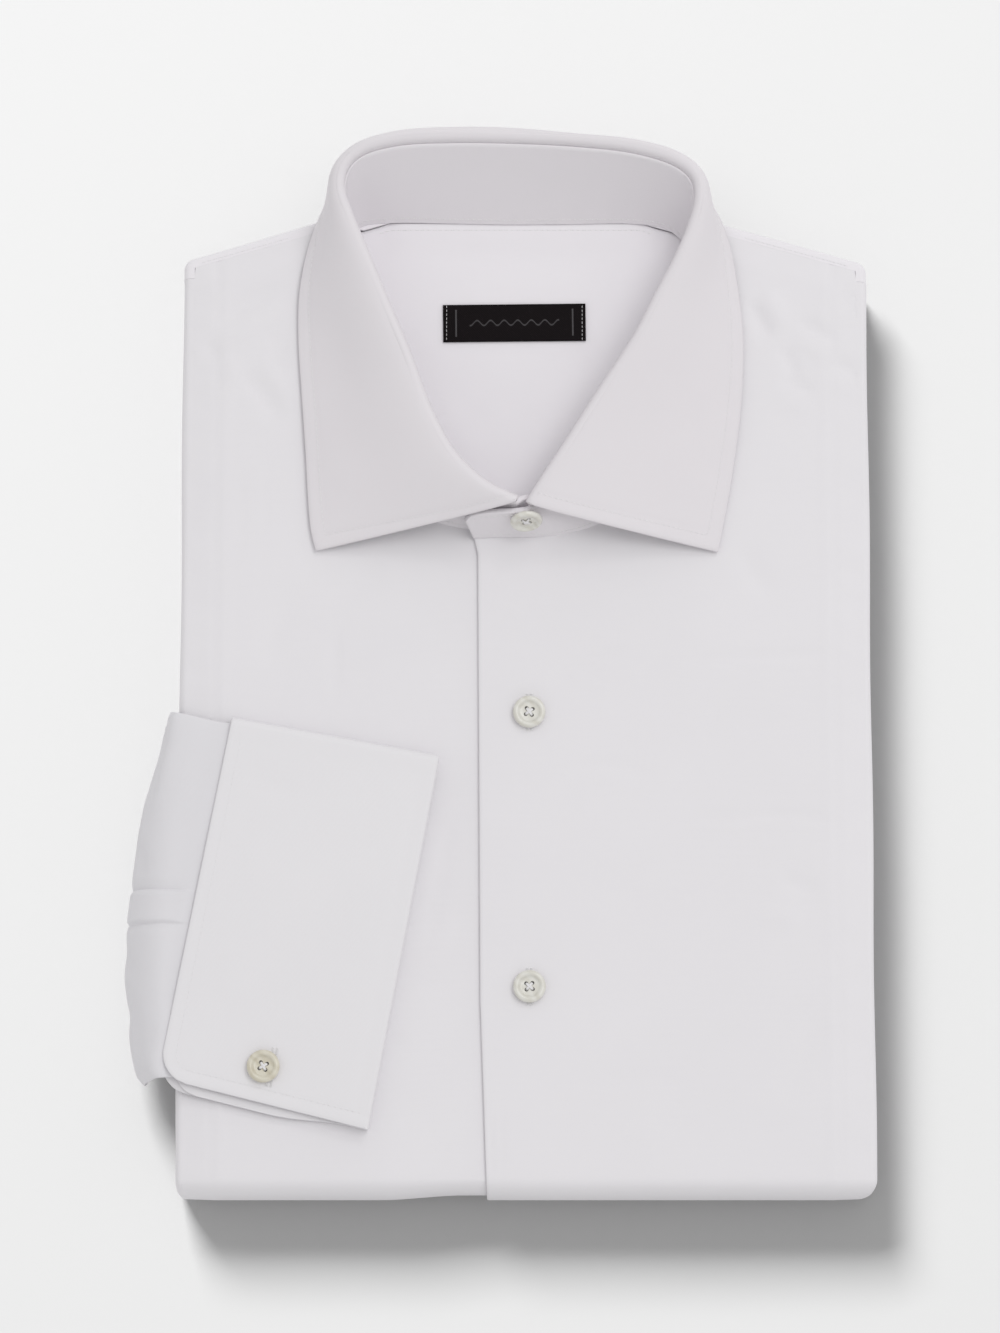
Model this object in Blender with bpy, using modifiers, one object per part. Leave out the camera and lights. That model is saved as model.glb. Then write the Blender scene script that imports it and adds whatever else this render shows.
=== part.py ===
"""A long sleeve dress shirt, folded flat and lying on its folded back.

The collar points to +Y, the front of the shirt faces +Z and the wearer's left is at +X. The origin
is below the middle of the folded shirt, at the height of the table. Each cut and sewn piece is one
object. The layers that the fold hides share one solid, grooved at its edges where layers end.

Blender's unit is the metre. Sizes below are in millimetres, and mesh_object turns them to metres.
"""

import math

import bpy
import numpy as np
from mathutils import Vector

METRES_PER_MM = 0.001

# ---- cloth and gaps -----------------------------------------------------------------------------
CLOTH = 1.2             # front, yoke and facing: two plies of poplin as they lie
STAND_CLOTH = 2.0       # collar stand with its interlining
LEAF_CLOTH = 1.6        # collar leaf with its interlining
CUFF_CLOTH = 1.1        # one layer of the double cuff
SLEEVE_CLOTH = 2.4      # flattened sleeve, both sides together
GAP = 0.3               # between two pieces that touch

# ---- the folded body ----------------------------------------------------------------------------
LEFT_X = -112.3         # side fold at the wearer's right
RIGHT_X = 130.2         # side fold at the wearer's left
FOLD_Y = -187.4         # bottom fold, where the tails turn under
TOP_Z = 26.0            # upper face of the pressed bundle
MID_Z = TOP_Z / 2
TURN_REACH = 6.5        # how far the bottom fold bulges past its centre line
TURN_Y = FOLD_Y + TURN_REACH
TAIL_Y = 138.0          # where the turned-under tails end, below the collar
LOWER_CORNER = {"left": 3.0, "right": 7.0}      # plan rounding of the two bottom corners

SHOULDER_Y = {"left": 145.0, "right": 143.8}    # outer end of each shoulder line
SHOULDER_SLOPE = {"left": 0.294, "right": 0.282}
NECK_EDGE_Y = 166.5     # top edge of the body behind the neck
SHOULDER_CORNER = 4.5   # plan radius of the shoulder corners
NECK_BEND = 16.0        # plan radius where the shoulder line meets the neck edge
NECK_X = 6.2            # middle of the neck
CORNER_LENGTH = 7.0     # the yoke reaches this far down each side fold

EDGE_REACH = 3.2        # half width of the pressed roll along every edge
EDGE_SQUARENESS = 0.8   # 1 is an ellipse, less is squarer
STRIP_WIDTH = 12.5      # width of the strip beside each edge that slopes down
STRIP_DROP = 1.4        # how far that strip falls
FOLD_GAP = 3.8          # height of the slot between the upper and the lower fold
UPPER_END_Z = MID_Z + FOLD_GAP / 2 - 0.7
LOWER_END_Z = UPPER_END_Z - FOLD_GAP
TURN_IN = 4.0           # cloth that runs inward past the side roll
YOKE_TURN_IN = 8.0      # the same behind the neck

SEAM_INSET = 4.0        # shoulder seam, measured inward from the shoulder line
NECK_SEAM_INSET = 7.5   # back neck seam
YOKE_STATIONS_X = (-97.0, -82.0, -69.0, -57.5, -50.5, -20.0, 6.2, 32.0, 62.9, 69.9, 82.0, 97.0, 113.0)
FRONT_EDGE = (          # (y, x) of the overlapping left front's free edge
    (TURN_Y - TURN_REACH, -4.5),
    (-119.0, -6.9),
    (38.0, -7.8),
    (45.0, -9.4),
)
LAP_RIGHT_X = 27.0      # hidden edge of the right front
LAP_START_X = -12.0     # from here the right front rises to the common level
LAP_EASE = 30.0         # over this width
LAP_DEPTH = CLOTH + GAP + 0.15

# Stations of the edge roll, in degrees: 0 is on the upper face, 180 on the turned-in cloth.
ROLL_ANGLES = (0, 30, 60, 90, 120, 150, 180)
TURN_ANGLES = (0, 25, 50, 90, 130, 155, 180)

# ---- collar -------------------------------------------------------------------------------------
# One row for each section, from the wearer's right front round the back to the left front.
# foot: where the stand is sewn to the neckline. crest: top of the fold. edge: rim of the leaf.
# roll: how far the leaf carries on outward before it falls.
COLLAR_COLUMNS = ("foot_x", "foot_y", "crest_x", "crest_y", "crest_z", "edge_x", "edge_y", "edge_z", "roll")
COLLAR_ROWS = (
    (2.0, 48.1, 6.0, 54.0, 45.7, -64.6, 38.8, 27.5, 1.2),
    (-13.0, 48.4, -5.0, 59.6, 45.8, -66.4, 46.0, 27.4, 4.0),
    (-26.0, 52.2, -15.4, 69.2, 46.0, -67.4, 56.0, 27.4, 7.0),
    (-41.5, 66.5, -24.4, 85.2, 46.5, -68.4, 74.0, 27.4, 9.0),
    (-51.0, 86.0, -32.2, 106.0, 47.0, -70.0, 96.0, 27.4, 9.0),
    (-55.0, 104.0, -40.0, 124.6, 47.5, -71.2, 115.0, 27.4, 8.5),
    (-57.0, 124.0, -48.0, 144.2, 48.0, -70.6, 134.0, 27.6, 7.0),
    (-57.0, 137.0, -53.0, 156.5, 48.3, -67.2, 149.6, 27.8, 5.8),
    (-56.0, 147.0, -55.7, 165.0, 48.8, -62.8, 161.4, 27.2, 5.0),
    (-53.5, 153.5, -54.4, 172.4, 49.4, -58.6, 171.4, 18.0, 4.6),
    (-48.0, 157.5, -48.5, 178.0, 50.0, -50.2, 180.2, 11.0, 4.6),
    (-36.0, 158.4, -36.0, 181.4, 50.4, -37.2, 184.6, 9.0, 5.0),
    (-19.0, 158.2, -18.5, 182.4, 50.5, -19.3, 186.4, 8.0, 5.6),
    (3.0, 157.8, 3.5, 182.2, 50.5, 3.5, 186.7, 7.6, 5.8),
    (27.0, 158.0, 27.5, 181.0, 50.5, 28.1, 183.0, 8.0, 4.2),
    (46.0, 158.2, 48.0, 178.6, 50.2, 49.8, 180.3, 9.4, 4.2),
    (58.0, 156.6, 62.0, 174.2, 49.7, 64.2, 176.6, 12.0, 4.0),
    (64.8, 152.2, 68.4, 168.6, 49.2, 71.8, 169.2, 19.0, 4.0),
    (68.0, 144.8, 69.4, 160.8, 48.7, 77.0, 160.2, 27.4, 4.6),
    (69.2, 135.0, 67.0, 151.4, 48.3, 81.0, 149.4, 27.8, 5.4),
    (69.3, 122.0, 62.0, 139.6, 48.0, 83.8, 135.0, 27.6, 5.8),
    (67.5, 104.0, 55.6, 127.4, 47.5, 85.8, 118.0, 27.4, 6.0),
    (63.5, 86.0, 47.5, 111.6, 47.0, 85.6, 100.0, 27.4, 6.0),
    (55.0, 68.0, 35.2, 92.6, 46.5, 84.0, 82.0, 27.4, 6.0),
    (43.5, 55.0, 22.6, 72.6, 46.0, 81.2, 63.0, 27.4, 5.5),
    (32.5, 48.6, 15.0, 61.0, 45.7, 78.6, 49.0, 27.4, 4.5),
    (21.0, 45.8, 9.8, 52.4, 45.5, 76.5, 38.4, 27.5, 3.0),
)
# Ends of the stand that run on past the leaf, as (foot_x, foot_y, top_x, top_y, top_z).
STAND_UNDERLAP = ((10.4, 48.8, 10.2, 56.0, 40.2), (6.4, 48.3, 7.6, 55.0, 41.6))
STAND_OVERLAP = (
    (12.0, 45.0, 4.8, 50.6, 41.8),
    (5.0, 44.9, -0.4, 50.6, 41.0),
    (-3.0, 44.8, -6.0, 50.4, 40.4),
    (-7.8, 44.6, -10.6, 49.6, 38.8),
    (-9.6, 44.5, -12.4, 48.2, 36.4),
)
FOOT_Z = TOP_Z + GAP
LEAF_SEAM_GAP = 1.2
CREST_RADIUS = 1.7      # the leaf turns over the crest with this radius
LEAF_SEAM_DROP = 1.8    # the leaf is sewn on this far below that turn
COLLAR_SAMPLES = 52     # sections of the finished leaf
CREST_STEPS = 4         # stations round the crest
LEAF_FALL_STEPS = 8     # stations from the crest to the rim
STAND_STEPS = 4         # stations from the foot to the top of the stand
STAND_BOW = 0.8         # the stand bulges outward by this much, but not at its two ends

# ---- yoke facing and label ----------------------------------------------------------------------
FACING_Z = TOP_Z - CLOTH - GAP      # upper face of the inner yoke
FACING_RISE = 1.2       # it rises by this much to the back neck seam
FACING_UNDER_FRONT = 7.0    # it runs on under the fronts by this much
FACING_BESIDE_LAP = 1.5     # but stops short of them where they lap
FACING_BACK_INSET = NECK_SEAM_INSET + 0.9
LABEL_SIZE = (50.5, 13.6, 0.6)
LABEL_CENTRE = (5.1, 121.7)
LABEL_TURN = math.radians(0.6)

# ---- double cuff --------------------------------------------------------------------------------
# Corners of the flattened cuff: the free edge is at -X, the turned edge at +X.
CUFF_UPPER_LEFT = (-93.3, -20.6)
CUFF_UPPER_RIGHT = (-20.9, -34.0)
CUFF_LOWER_RIGHT = (-45.4, -164.6)
CUFF_LOWER_LEFT = (-117.9, -146.4)
CUFF_BOTTOM_Z = TOP_Z + GAP
CUFF_LAYER_GAP = 0.35
CUFF_HOLLOW = 0.6       # between the two sides of the wrist
CUFF_HEIGHT = 4 * CUFF_CLOTH + 2 * CUFF_LAYER_GAP + CUFF_HOLLOW
CUFF_CORNER = 10.0      # rounded corner of the free edge
CUFF_PEEK = 3.0         # the under side of the wrist shows this far past the upper one
CUFF_INSET = 4.2        # the sleeve is sewn on this far inside the free edge

# ---- sleeve -------------------------------------------------------------------------------------
# Outermost point of the sleeve as it bulges past the side fold.
SLEEVE_OUTLINE = (      # (y, x)
    (-17.0, -115.9),
    (-33.4, -119.7),
    (-50.0, -124.8),
    (-58.0, -126.1),
    (-75.6, -128.5),
    (-91.0, -130.0),
    (-107.0, -130.9),
    (-119.0, -130.7),
    (-132.0, -128.9),
    (-145.0, -126.3),
    (-149.0, -124.0),
)
SLEEVE_START_X = LEFT_X + 4.3
SLEEVE_SLOT_Z = (LOWER_END_Z + UPPER_END_Z) / 2
SLEEVE_FOLDS_Y = (-17.6, -148.4)    # upper and lower fold of the flattened tube
SLEEVE_MOUTH_Y = (-22.9, -146.4)    # the same where it enters the cuff
SLEEVE_STATIONS_Y = (-17.6, -20.0, -27.0, -40.0, -56.0, -70.0, -79.4, -80.6, -91.2, -92.4,
                     -106.0, -122.0, -134.0, -139.0, -142.0, -145.0, -148.4)
PLEAT_Y = (-91.2, -80.6)            # the pleat pressed in beside the cuff
PLEAT_RISE = 0.8
SLEEVE_PATH_STEPS = 17

# ---- buttons ------------------------------------------------------------------------------------
BUTTON_RADIUS = 5.7
BUTTON_PROFILE = (      # (radius, height) down the outer side from the top centre
    (0.0, 1.7),
    (3.3, 1.7),
    (3.9, 2.5),
    (4.8, 2.6),
    (5.5, 2.1),
    (5.7, 1.5),
    (5.2, 0.7),
    (3.0, 0.0),
    (0.0, 0.0),
)
BUTTON_SEGMENTS = 16
BUTTON_HOLE_RADIUS = 0.75
BUTTON_HOLE_OFFSET = 1.55
FRONT_BUTTON_X = 10.2
FRONT_BUTTONS_Y = (-18.3, -114.7)
CUFF_BUTTON_XY = (-81.5, -143.0)
COLLAR_BUTTON_X = 6.2
COLLAR_BUTTON_RISE = 0.66           # share of the stand's front height

# ---- hidden layers ------------------------------------------------------------------------------
HIDDEN_TAIL_Y = TAIL_Y - 1.2        # the tail layers end just inside the tails of the fronts
HIDDEN_BOTTOM_Z = 3.3               # clear of both fronts where they lap
HIDDEN_REACH = 3.2                  # the same inside the bottom fold
HIDDEN_HALF = 10.0
HIDDEN_TOP_Z = 22.7
LAYER_GROOVE = 1.6                  # depth of the groove between two layers

COTTON = ("white_cotton", (0.78, 0.76, 0.78), 0.85)
LABEL_SATIN = ("black_label_weave", (0.012, 0.010, 0.011), 0.55)
PEARL = ("pearl_button", (0.62, 0.58, 0.52), 0.28)


# ---- scene and mesh helpers ---------------------------------------------------------------------
def clear_scene():
    for old in list(bpy.data.objects):
        bpy.data.objects.remove(old, do_unlink=True)


def new_collection(name, visible=True):
    collection = bpy.data.collections.new(name)
    bpy.context.scene.collection.children.link(collection)
    collection.hide_render = not visible
    return collection


def new_material(name, finish):
    label, colour, roughness = finish
    material = bpy.data.materials.new(f"{name}_{label}")
    material.use_nodes = True
    shader = material.node_tree.nodes["Principled BSDF"]
    shader.inputs["Base Color"].default_value = (*colour, 1.0)
    shader.inputs["Roughness"].default_value = roughness
    shader.inputs["Metallic"].default_value = 0.0
    return material


def mesh_object(name, points, faces, finish, collection):
    """Make an object from points in millimetres."""
    mesh = bpy.data.meshes.new(name)
    scaled = [tuple(float(value) * METRES_PER_MM for value in point) for point in points]
    mesh.from_pydata(scaled, [], faces)
    mesh.update()
    mesh.shade_smooth()
    mesh.set_sharp_from_angle(angle=math.radians(40))
    mesh.materials.append(new_material(name, finish))
    piece = bpy.data.objects.new(name, mesh)
    collection.objects.link(piece)
    return piece


def grid_faces(rows, columns):
    """Quads of an open grid whose points run row by row."""
    return [
        (r * columns + c, r * columns + c + 1, (r + 1) * columns + c + 1, (r + 1) * columns + c)
        for r in range(rows - 1)
        for c in range(columns - 1)
    ]


def wall_from_grid(name, grid, thickness, side, finish, collection, flip=False):
    """A wall of cloth: an open grid of points with Solidify. side -1 grows it inward."""
    grid = np.asarray(grid, float)
    rows, columns = grid.shape[:2]
    faces = grid_faces(rows, columns)
    if flip:
        faces = [face[::-1] for face in faces]
    piece = mesh_object(name, grid.reshape(-1, 3), faces, finish, collection)
    solidify = piece.modifiers.new("cloth thickness", "SOLIDIFY")
    solidify.thickness = thickness * METRES_PER_MM
    solidify.offset = side
    solidify.use_even_offset = True
    return piece


def strip_cap(around, shift):
    """Faces that close a flattened ring: point i of one long side meets point shift - i of the other."""
    partner = [(shift - i) % around for i in range(around // 2 + 1)]
    faces = []
    for i in range(around // 2 - shift % 2):
        face = []
        for corner in (i, i + 1, partner[i + 1], partner[i]):
            if corner not in face:
                face.append(corner)
        faces.append(tuple(face))
    return faces


def solid_from_rings(name, rings, finish, collection, flip=False, cap=None):
    """A closed loft through rings with the same number of points, capped at both ends."""
    rings = np.asarray(rings, float)
    count, around = rings.shape[:2]
    cap = cap or [tuple(range(around))]
    faces = []
    for r in range(count - 1):
        for c in range(around):
            following = (c + 1) % around
            faces.append((r * around + c, r * around + following,
                          (r + 1) * around + following, (r + 1) * around + c))
    faces += [face[::-1] for face in cap]
    faces += [tuple((count - 1) * around + c for c in face) for face in cap]
    if flip:
        faces = [face[::-1] for face in faces]
    return mesh_object(name, rings.reshape(-1, 3), faces, finish, collection)


# ---- curves -------------------------------------------------------------------------------------
def ease(low, high, value):
    """0 below low, 1 above high, smooth between."""
    t = min(max((value - low) / (high - low), 0.0), 1.0)
    return t * t * (3.0 - 2.0 * t)


def mix(a, b, t):
    return a + (b - a) * t


def smooth_curve(points, samples):
    """Evenly parted samples of a Catmull-Rom curve through the points, knots by chord length."""
    points = np.asarray(points, float)
    steps = np.linalg.norm(np.diff(points, axis=0), axis=1) ** 0.5
    knots = np.concatenate([[0.0], np.cumsum(steps)])
    slopes = np.gradient(points, knots, axis=0)
    fine = []
    for i in range(len(points) - 1):
        width = knots[i + 1] - knots[i]
        for t in np.linspace(0.0, 1.0, 12, endpoint=False):
            fine.append((2 * t**3 - 3 * t**2 + 1) * points[i] + (t**3 - 2 * t**2 + t) * width * slopes[i]
                        + (3 * t**2 - 2 * t**3) * points[i + 1] + (t**3 - t**2) * width * slopes[i + 1])
    fine.append(points[-1])
    fine = np.array(fine)
    lengths = np.concatenate([[0.0], np.cumsum(np.linalg.norm(np.diff(fine[:, :3], axis=0), axis=1))])
    wanted = np.linspace(0.0, lengths[-1], samples)
    return np.stack([np.interp(wanted, lengths, fine[:, k]) for k in range(points.shape[1])], axis=1)


def bezier(start, handle_out, handle_in, end, t):
    u = 1.0 - t
    return u**3 * start + 3 * u * u * t * handle_out + 3 * u * t * t * handle_in + t**3 * end


def rounded_polyline(corners, radii, steps):
    """Round each inner corner of an open polyline. Returns points and their left-hand normals."""
    corners = [np.array(corner, float) for corner in corners]
    points, normals = [], []

    def add(point, direction):
        points.append(point)
        normals.append(np.array((-direction[1], direction[0])))

    first = corners[1] - corners[0]
    add(corners[0], first / np.linalg.norm(first))
    for before, corner, after, radius in zip(corners, corners[1:], corners[2:], radii):
        heading_in = (corner - before) / np.linalg.norm(corner - before)
        heading_out = (after - corner) / np.linalg.norm(after - corner)
        turn = math.atan2(heading_in[0] * heading_out[1] - heading_in[1] * heading_out[0],
                          heading_in @ heading_out)
        reach = radius * math.tan(abs(turn) / 2)
        start = corner - heading_in * reach
        side = math.copysign(1.0, turn)
        centre = start + np.array((-heading_in[1], heading_in[0])) * radius * side
        for step in range(steps + 1):
            angle = turn * step / steps
            cosine, sine = math.cos(angle), math.sin(angle)
            spoke = start - centre
            turned = np.array((cosine * spoke[0] - sine * spoke[1], sine * spoke[0] + cosine * spoke[1]))
            heading = np.array((cosine * heading_in[0] - sine * heading_in[1],
                                sine * heading_in[0] + cosine * heading_in[1]))
            add(centre + turned, heading)
    last = corners[-1] - corners[-2]
    add(corners[-1], last / np.linalg.norm(last))
    return np.array(points), np.array(normals)


# ---- form of the folded body --------------------------------------------------------------------
def shoulder_line(x):
    """Top edge of the folded body in plan."""
    left = SHOULDER_Y["left"] + SHOULDER_SLOPE["left"] * (x - LEFT_X)
    right = SHOULDER_Y["right"] + SHOULDER_SLOPE["right"] * (RIGHT_X - x)
    return min(left, right, NECK_EDGE_Y)


def neck_share(x):
    """1 behind the neck, 0 over the shoulders."""
    return 1.0 - ease(66.0, 84.0, abs(x - NECK_X))


def strip_drop(inset):
    """How far the upper face has fallen at this distance from an edge."""
    share = (STRIP_WIDTH - inset) / (STRIP_WIDTH - EDGE_REACH)
    return STRIP_DROP * min(max(share, 0.0), 1.0)


def edge_roll(angle, start_z, end_z):
    """Inset and height of the cloth as it rolls round an edge."""
    sine = math.sin(math.radians(angle))
    cosine = math.cos(math.radians(angle))
    inset = EDGE_REACH * (1.0 - abs(sine) ** EDGE_SQUARENESS)
    height = (start_z + end_z) / 2 + (start_z - end_z) / 2 * math.copysign(abs(cosine) ** EDGE_SQUARENESS, cosine)
    return inset, height


def neckline_y(x, side):
    """Where a front is sewn to the foot of the stand."""
    feet = np.array([row[:2] for row in COLLAR_ROWS])
    if side == "left":
        furthest = int(np.argmin(feet[:, 0]))
        line = list(feet[:furthest + 1]) + [row[:2] for row in STAND_UNDERLAP]
    else:
        furthest = int(np.argmax(feet[:, 0]))
        line = list(feet[furthest:]) + [row[:2] for row in STAND_OVERLAP]
    line = np.array(sorted(line, key=lambda point: point[0]))
    return float(np.interp(x, line[:, 0], line[:, 1]))


def has_neckline(x, side):
    """True where a column of a front ends at the stand, not at the shoulder seam."""
    feet = [row[0] for row in COLLAR_ROWS]
    return x > min(feet) - 0.2 if side == "left" else x < max(feet) + 0.2


def front_edge_x(y):
    return float(np.interp(y, [row[0] for row in FRONT_EDGE], [row[1] for row in FRONT_EDGE]))


def lap_depth(x):
    """The right front runs under the left one and rises to the common level away from it."""
    return LAP_DEPTH * ease(LAP_START_X - LAP_EASE, LAP_START_X, x)


def body_point(x, y_top, row, depth_top, depth_under, lap, corner_shift):
    """A point of a front: along the upper face, round the bottom fold or along the under face."""
    place, value = row
    if place == "upper":
        y = mix(y_top, 30.0, value) if value <= 1.0 else mix(30.0, TURN_Y, value - 1.0)
        return (x, y, TOP_Z - depth_top - lap)
    if place == "under":
        return (x, mix(TURN_Y, TAIL_Y, value), depth_under + lap)
    sine, cosine = math.sin(math.radians(value)), math.cos(math.radians(value))
    scale = 1.0 - mix(depth_top, depth_under, value / 180.0) / MID_Z
    reach, half = TURN_REACH * scale, MID_Z * scale
    steepness = math.hypot(sine / reach, cosine / half)
    out = reach * sine - lap * sine / reach / steepness
    rise = half * cosine - lap * cosine / half / steepness
    rounding = 1.0 - math.sqrt(1.0 - (out / 7.0) ** 2)
    return (x + corner_shift * rounding, TURN_Y - out, MID_Z + rise)


def front_columns(side):
    """Columns of a front from the centre to the side fold: (x, inset, roll angle or None)."""
    edge = LEFT_X if side == "left" else RIGHT_X
    inward = 1.0 if side == "left" else -1.0
    if side == "left":
        flat = (LAP_RIGHT_X, 12.0, 0.0, -8.0, -14.0, -20.0, -28.0, -35.0, -42.0, -47.0, -51.0,
                -54.0, -56.4, -58.0, -72.0, -86.0)
    else:
        flat = (front_edge_x(45.0), 4.0, 14.0, 24.0, 33.0, 43.5, 50.0, 55.0, 60.0, 64.0, 67.4, 69.2,
                70.6, 84.0, 100.0)
    columns = [(x, abs(x - edge), None) for x in flat]
    for inset in (STRIP_WIDTH, 8.0, 4.3, 3.9):
        columns.append((edge + inward * inset, inset, None))
    for angle in ROLL_ANGLES:
        inset = edge_roll(angle, 1.0, 0.0)[0]
        columns.append((edge + inward * inset, inset, angle))
    turned = EDGE_REACH + TURN_IN
    columns.append((edge + inward * turned, turned, 180))
    return columns


def front_top(x, inset, angle, side):
    """Where a column of a front begins: at the neckline, at the shoulder seam or at the corner."""
    if angle is not None or inset < SEAM_INSET:
        return SHOULDER_Y[side] - CORNER_LENGTH
    if has_neckline(x, side):
        return neckline_y(x, side)
    return shoulder_line(x) - SEAM_INSET * math.hypot(1.0, SHOULDER_SLOPE[side])


def front_panel(name, side, collection):
    """One front: upper face, bottom fold and tail, rolled round the side fold."""
    rows = [("upper", value) for value in (0.0, 0.075, 0.5, 1.0, 1.3, 1.6, 1.93)]
    rows += [("turn", angle) for angle in TURN_ANGLES]
    rows += [("under", value) for value in (0.08, 0.5, 1.0)]
    inward = 1.0 if side == "left" else -1.0
    columns = front_columns(side)
    grid = []
    for row in rows:
        line = []
        for index, (x, inset, angle) in enumerate(columns):
            y_top = front_top(x, inset, angle, side)
            if angle is None:
                depth_top, depth_under = strip_drop(inset), 0.0
                if row[0] == "upper" and row[1] <= 1.0:
                    y = mix(y_top, 30.0, row[1])
                    above = (shoulder_line(x) - y) / math.hypot(1.0, SHOULDER_SLOPE[side])
                    depth_top = max(depth_top, strip_drop(above) * (1.0 - neck_share(x)))
            else:
                depth_top = TOP_Z - edge_roll(angle, TOP_Z - STRIP_DROP, UPPER_END_Z)[1]
                depth_under = edge_roll(angle, 0.0, LOWER_END_Z)[1]
            lap = lap_depth(x) if side == "left" else 0.0
            shift = inward * LOWER_CORNER[side] * max(0.0, 1.0 - inset / 22.0)
            point = body_point(x, y_top, row, depth_top, depth_under, lap, shift)
            if side == "right" and index == 0:
                point = (front_edge_x(point[1]), *point[1:])
            line.append(point)
        grid.append(line)
    return wall_from_grid(name, grid, CLOTH, -1, COTTON, collection, flip=side == "right")


# ---- yoke ---------------------------------------------------------------------------------------
def top_edge_path():
    """Plan of the body's top edge, from one side round the shoulders to the other, with normals.
    Stations are added where the seam below the yoke changes its distance from the edge."""
    neck_left = LEFT_X + (NECK_EDGE_Y - SHOULDER_Y["left"]) / SHOULDER_SLOPE["left"]
    neck_right = RIGHT_X - (NECK_EDGE_Y - SHOULDER_Y["right"]) / SHOULDER_SLOPE["right"]
    corners = [
        (LEFT_X, SHOULDER_Y["left"] - CORNER_LENGTH + GAP),
        (LEFT_X, SHOULDER_Y["left"]),
        (neck_left, NECK_EDGE_Y),
        (neck_right, NECK_EDGE_Y),
        (RIGHT_X, SHOULDER_Y["right"]),
        (RIGHT_X, SHOULDER_Y["right"] - CORNER_LENGTH + GAP),
    ]
    radii = (SHOULDER_CORNER, NECK_BEND, NECK_BEND, SHOULDER_CORNER)
    points, normals = rounded_polyline(corners, radii, 4)
    path = list(zip(points, -normals))
    for x in YOKE_STATIONS_X:
        after = next(index for index, (point, _) in enumerate(path) if point[0] > x)
        (start, _), (end, normal) = path[after - 1], path[after]
        path.insert(after, (mix(start, end, (x - start[0]) / (end[0] - start[0])), normal))
    return path


def yoke(collection):
    """The outer yoke, rolled over the shoulder edge and turned in below."""
    grid = []
    for point, normal in top_edge_path():
        share = neck_share(point[0])
        start_z = TOP_Z - STRIP_DROP * (1.0 - share)
        behind_stand = 1.0 - ease(NECK_X - YOKE_STATIONS_X[4], NECK_X - YOKE_STATIONS_X[3],
                                  abs(point[0] - NECK_X))
        start_inset = mix(SEAM_INSET - GAP - 0.1, NECK_SEAM_INSET, behind_stand)
        end_inset = EDGE_REACH + mix(0.8, YOKE_TURN_IN, share)
        seam_z = TOP_Z - strip_drop(start_inset) * (1.0 - share)
        section = [(start_inset, seam_z)]
        section += [edge_roll(angle, start_z, UPPER_END_Z) for angle in ROLL_ANGLES]
        section.append((end_inset, UPPER_END_Z))
        grid.append([(point[0] + normal[0] * inset, point[1] + normal[1] * inset, z) for inset, z in section])
    return wall_from_grid("yoke", grid, CLOTH, -1, COTTON, collection, flip=True)


def facing_height(x, y):
    """Upper face of the inner yoke, which lifts to the back neck seam."""
    inside = 1.0 - ease(40.0, 50.0, abs(x - NECK_X))
    return FACING_Z + FACING_RISE * ease(144.0, 157.0, y) * inside


def facing_front_y(x):
    """It runs on under the fronts, but stops inside the neckline where they lap."""
    edges = [neckline_y(x, "left")] if x < NECK_X else [neckline_y(x, "right")]
    if x < LAP_RIGHT_X + 2.0:
        edges.append(neckline_y(x, "left"))
    beside_lap = ease(-50.0, -43.0, x) * (1.0 - ease(28.5, 36.0, x))
    return max(edges) + mix(-FACING_UNDER_FRONT, FACING_BESIDE_LAP, beside_lap)


def yoke_facing(collection):
    """The inner yoke, which shows inside the neck and carries the label."""
    across = (-58.6, -56.6, -54.0, -50.0, -43.0, -36.0, -28.0, -18.0, -6.0, 6.0, 18.0, 28.5, 36.0, 44.0,
              52.0, 60.0, 67.0, 71.0)
    grid = []
    for share in (0.0, 0.3, 0.6, 0.85, 0.93, 1.0):
        line = []
        for x in across:
            y = mix(facing_front_y(x), shoulder_line(x) - FACING_BACK_INSET, share)
            line.append((x, y, facing_height(x, y)))
        grid.append(line)
    return wall_from_grid("yoke_facing", grid, CLOTH, -1, COTTON, collection)


def neck_label(collection):
    """The woven label, sewn flat on the inner yoke."""
    length, width, thickness = LABEL_SIZE
    bpy.ops.mesh.primitive_cube_add(size=1.0)
    label = bpy.context.object
    label.name = label.data.name = "neck_label"
    label.scale = (length * METRES_PER_MM, width * METRES_PER_MM, thickness * METRES_PER_MM)
    bpy.ops.object.transform_apply(location=False, rotation=False, scale=True)
    height = FACING_Z + GAP + thickness / 2
    label.location = [value * METRES_PER_MM for value in (*LABEL_CENTRE, height)]
    label.rotation_euler = (0.0, 0.0, LABEL_TURN)
    label.data.materials.append(new_material("neck_label", LABEL_SATIN))
    for owner in list(label.users_collection):
        owner.objects.unlink(label)
    collection.objects.link(label)
    return label


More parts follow.
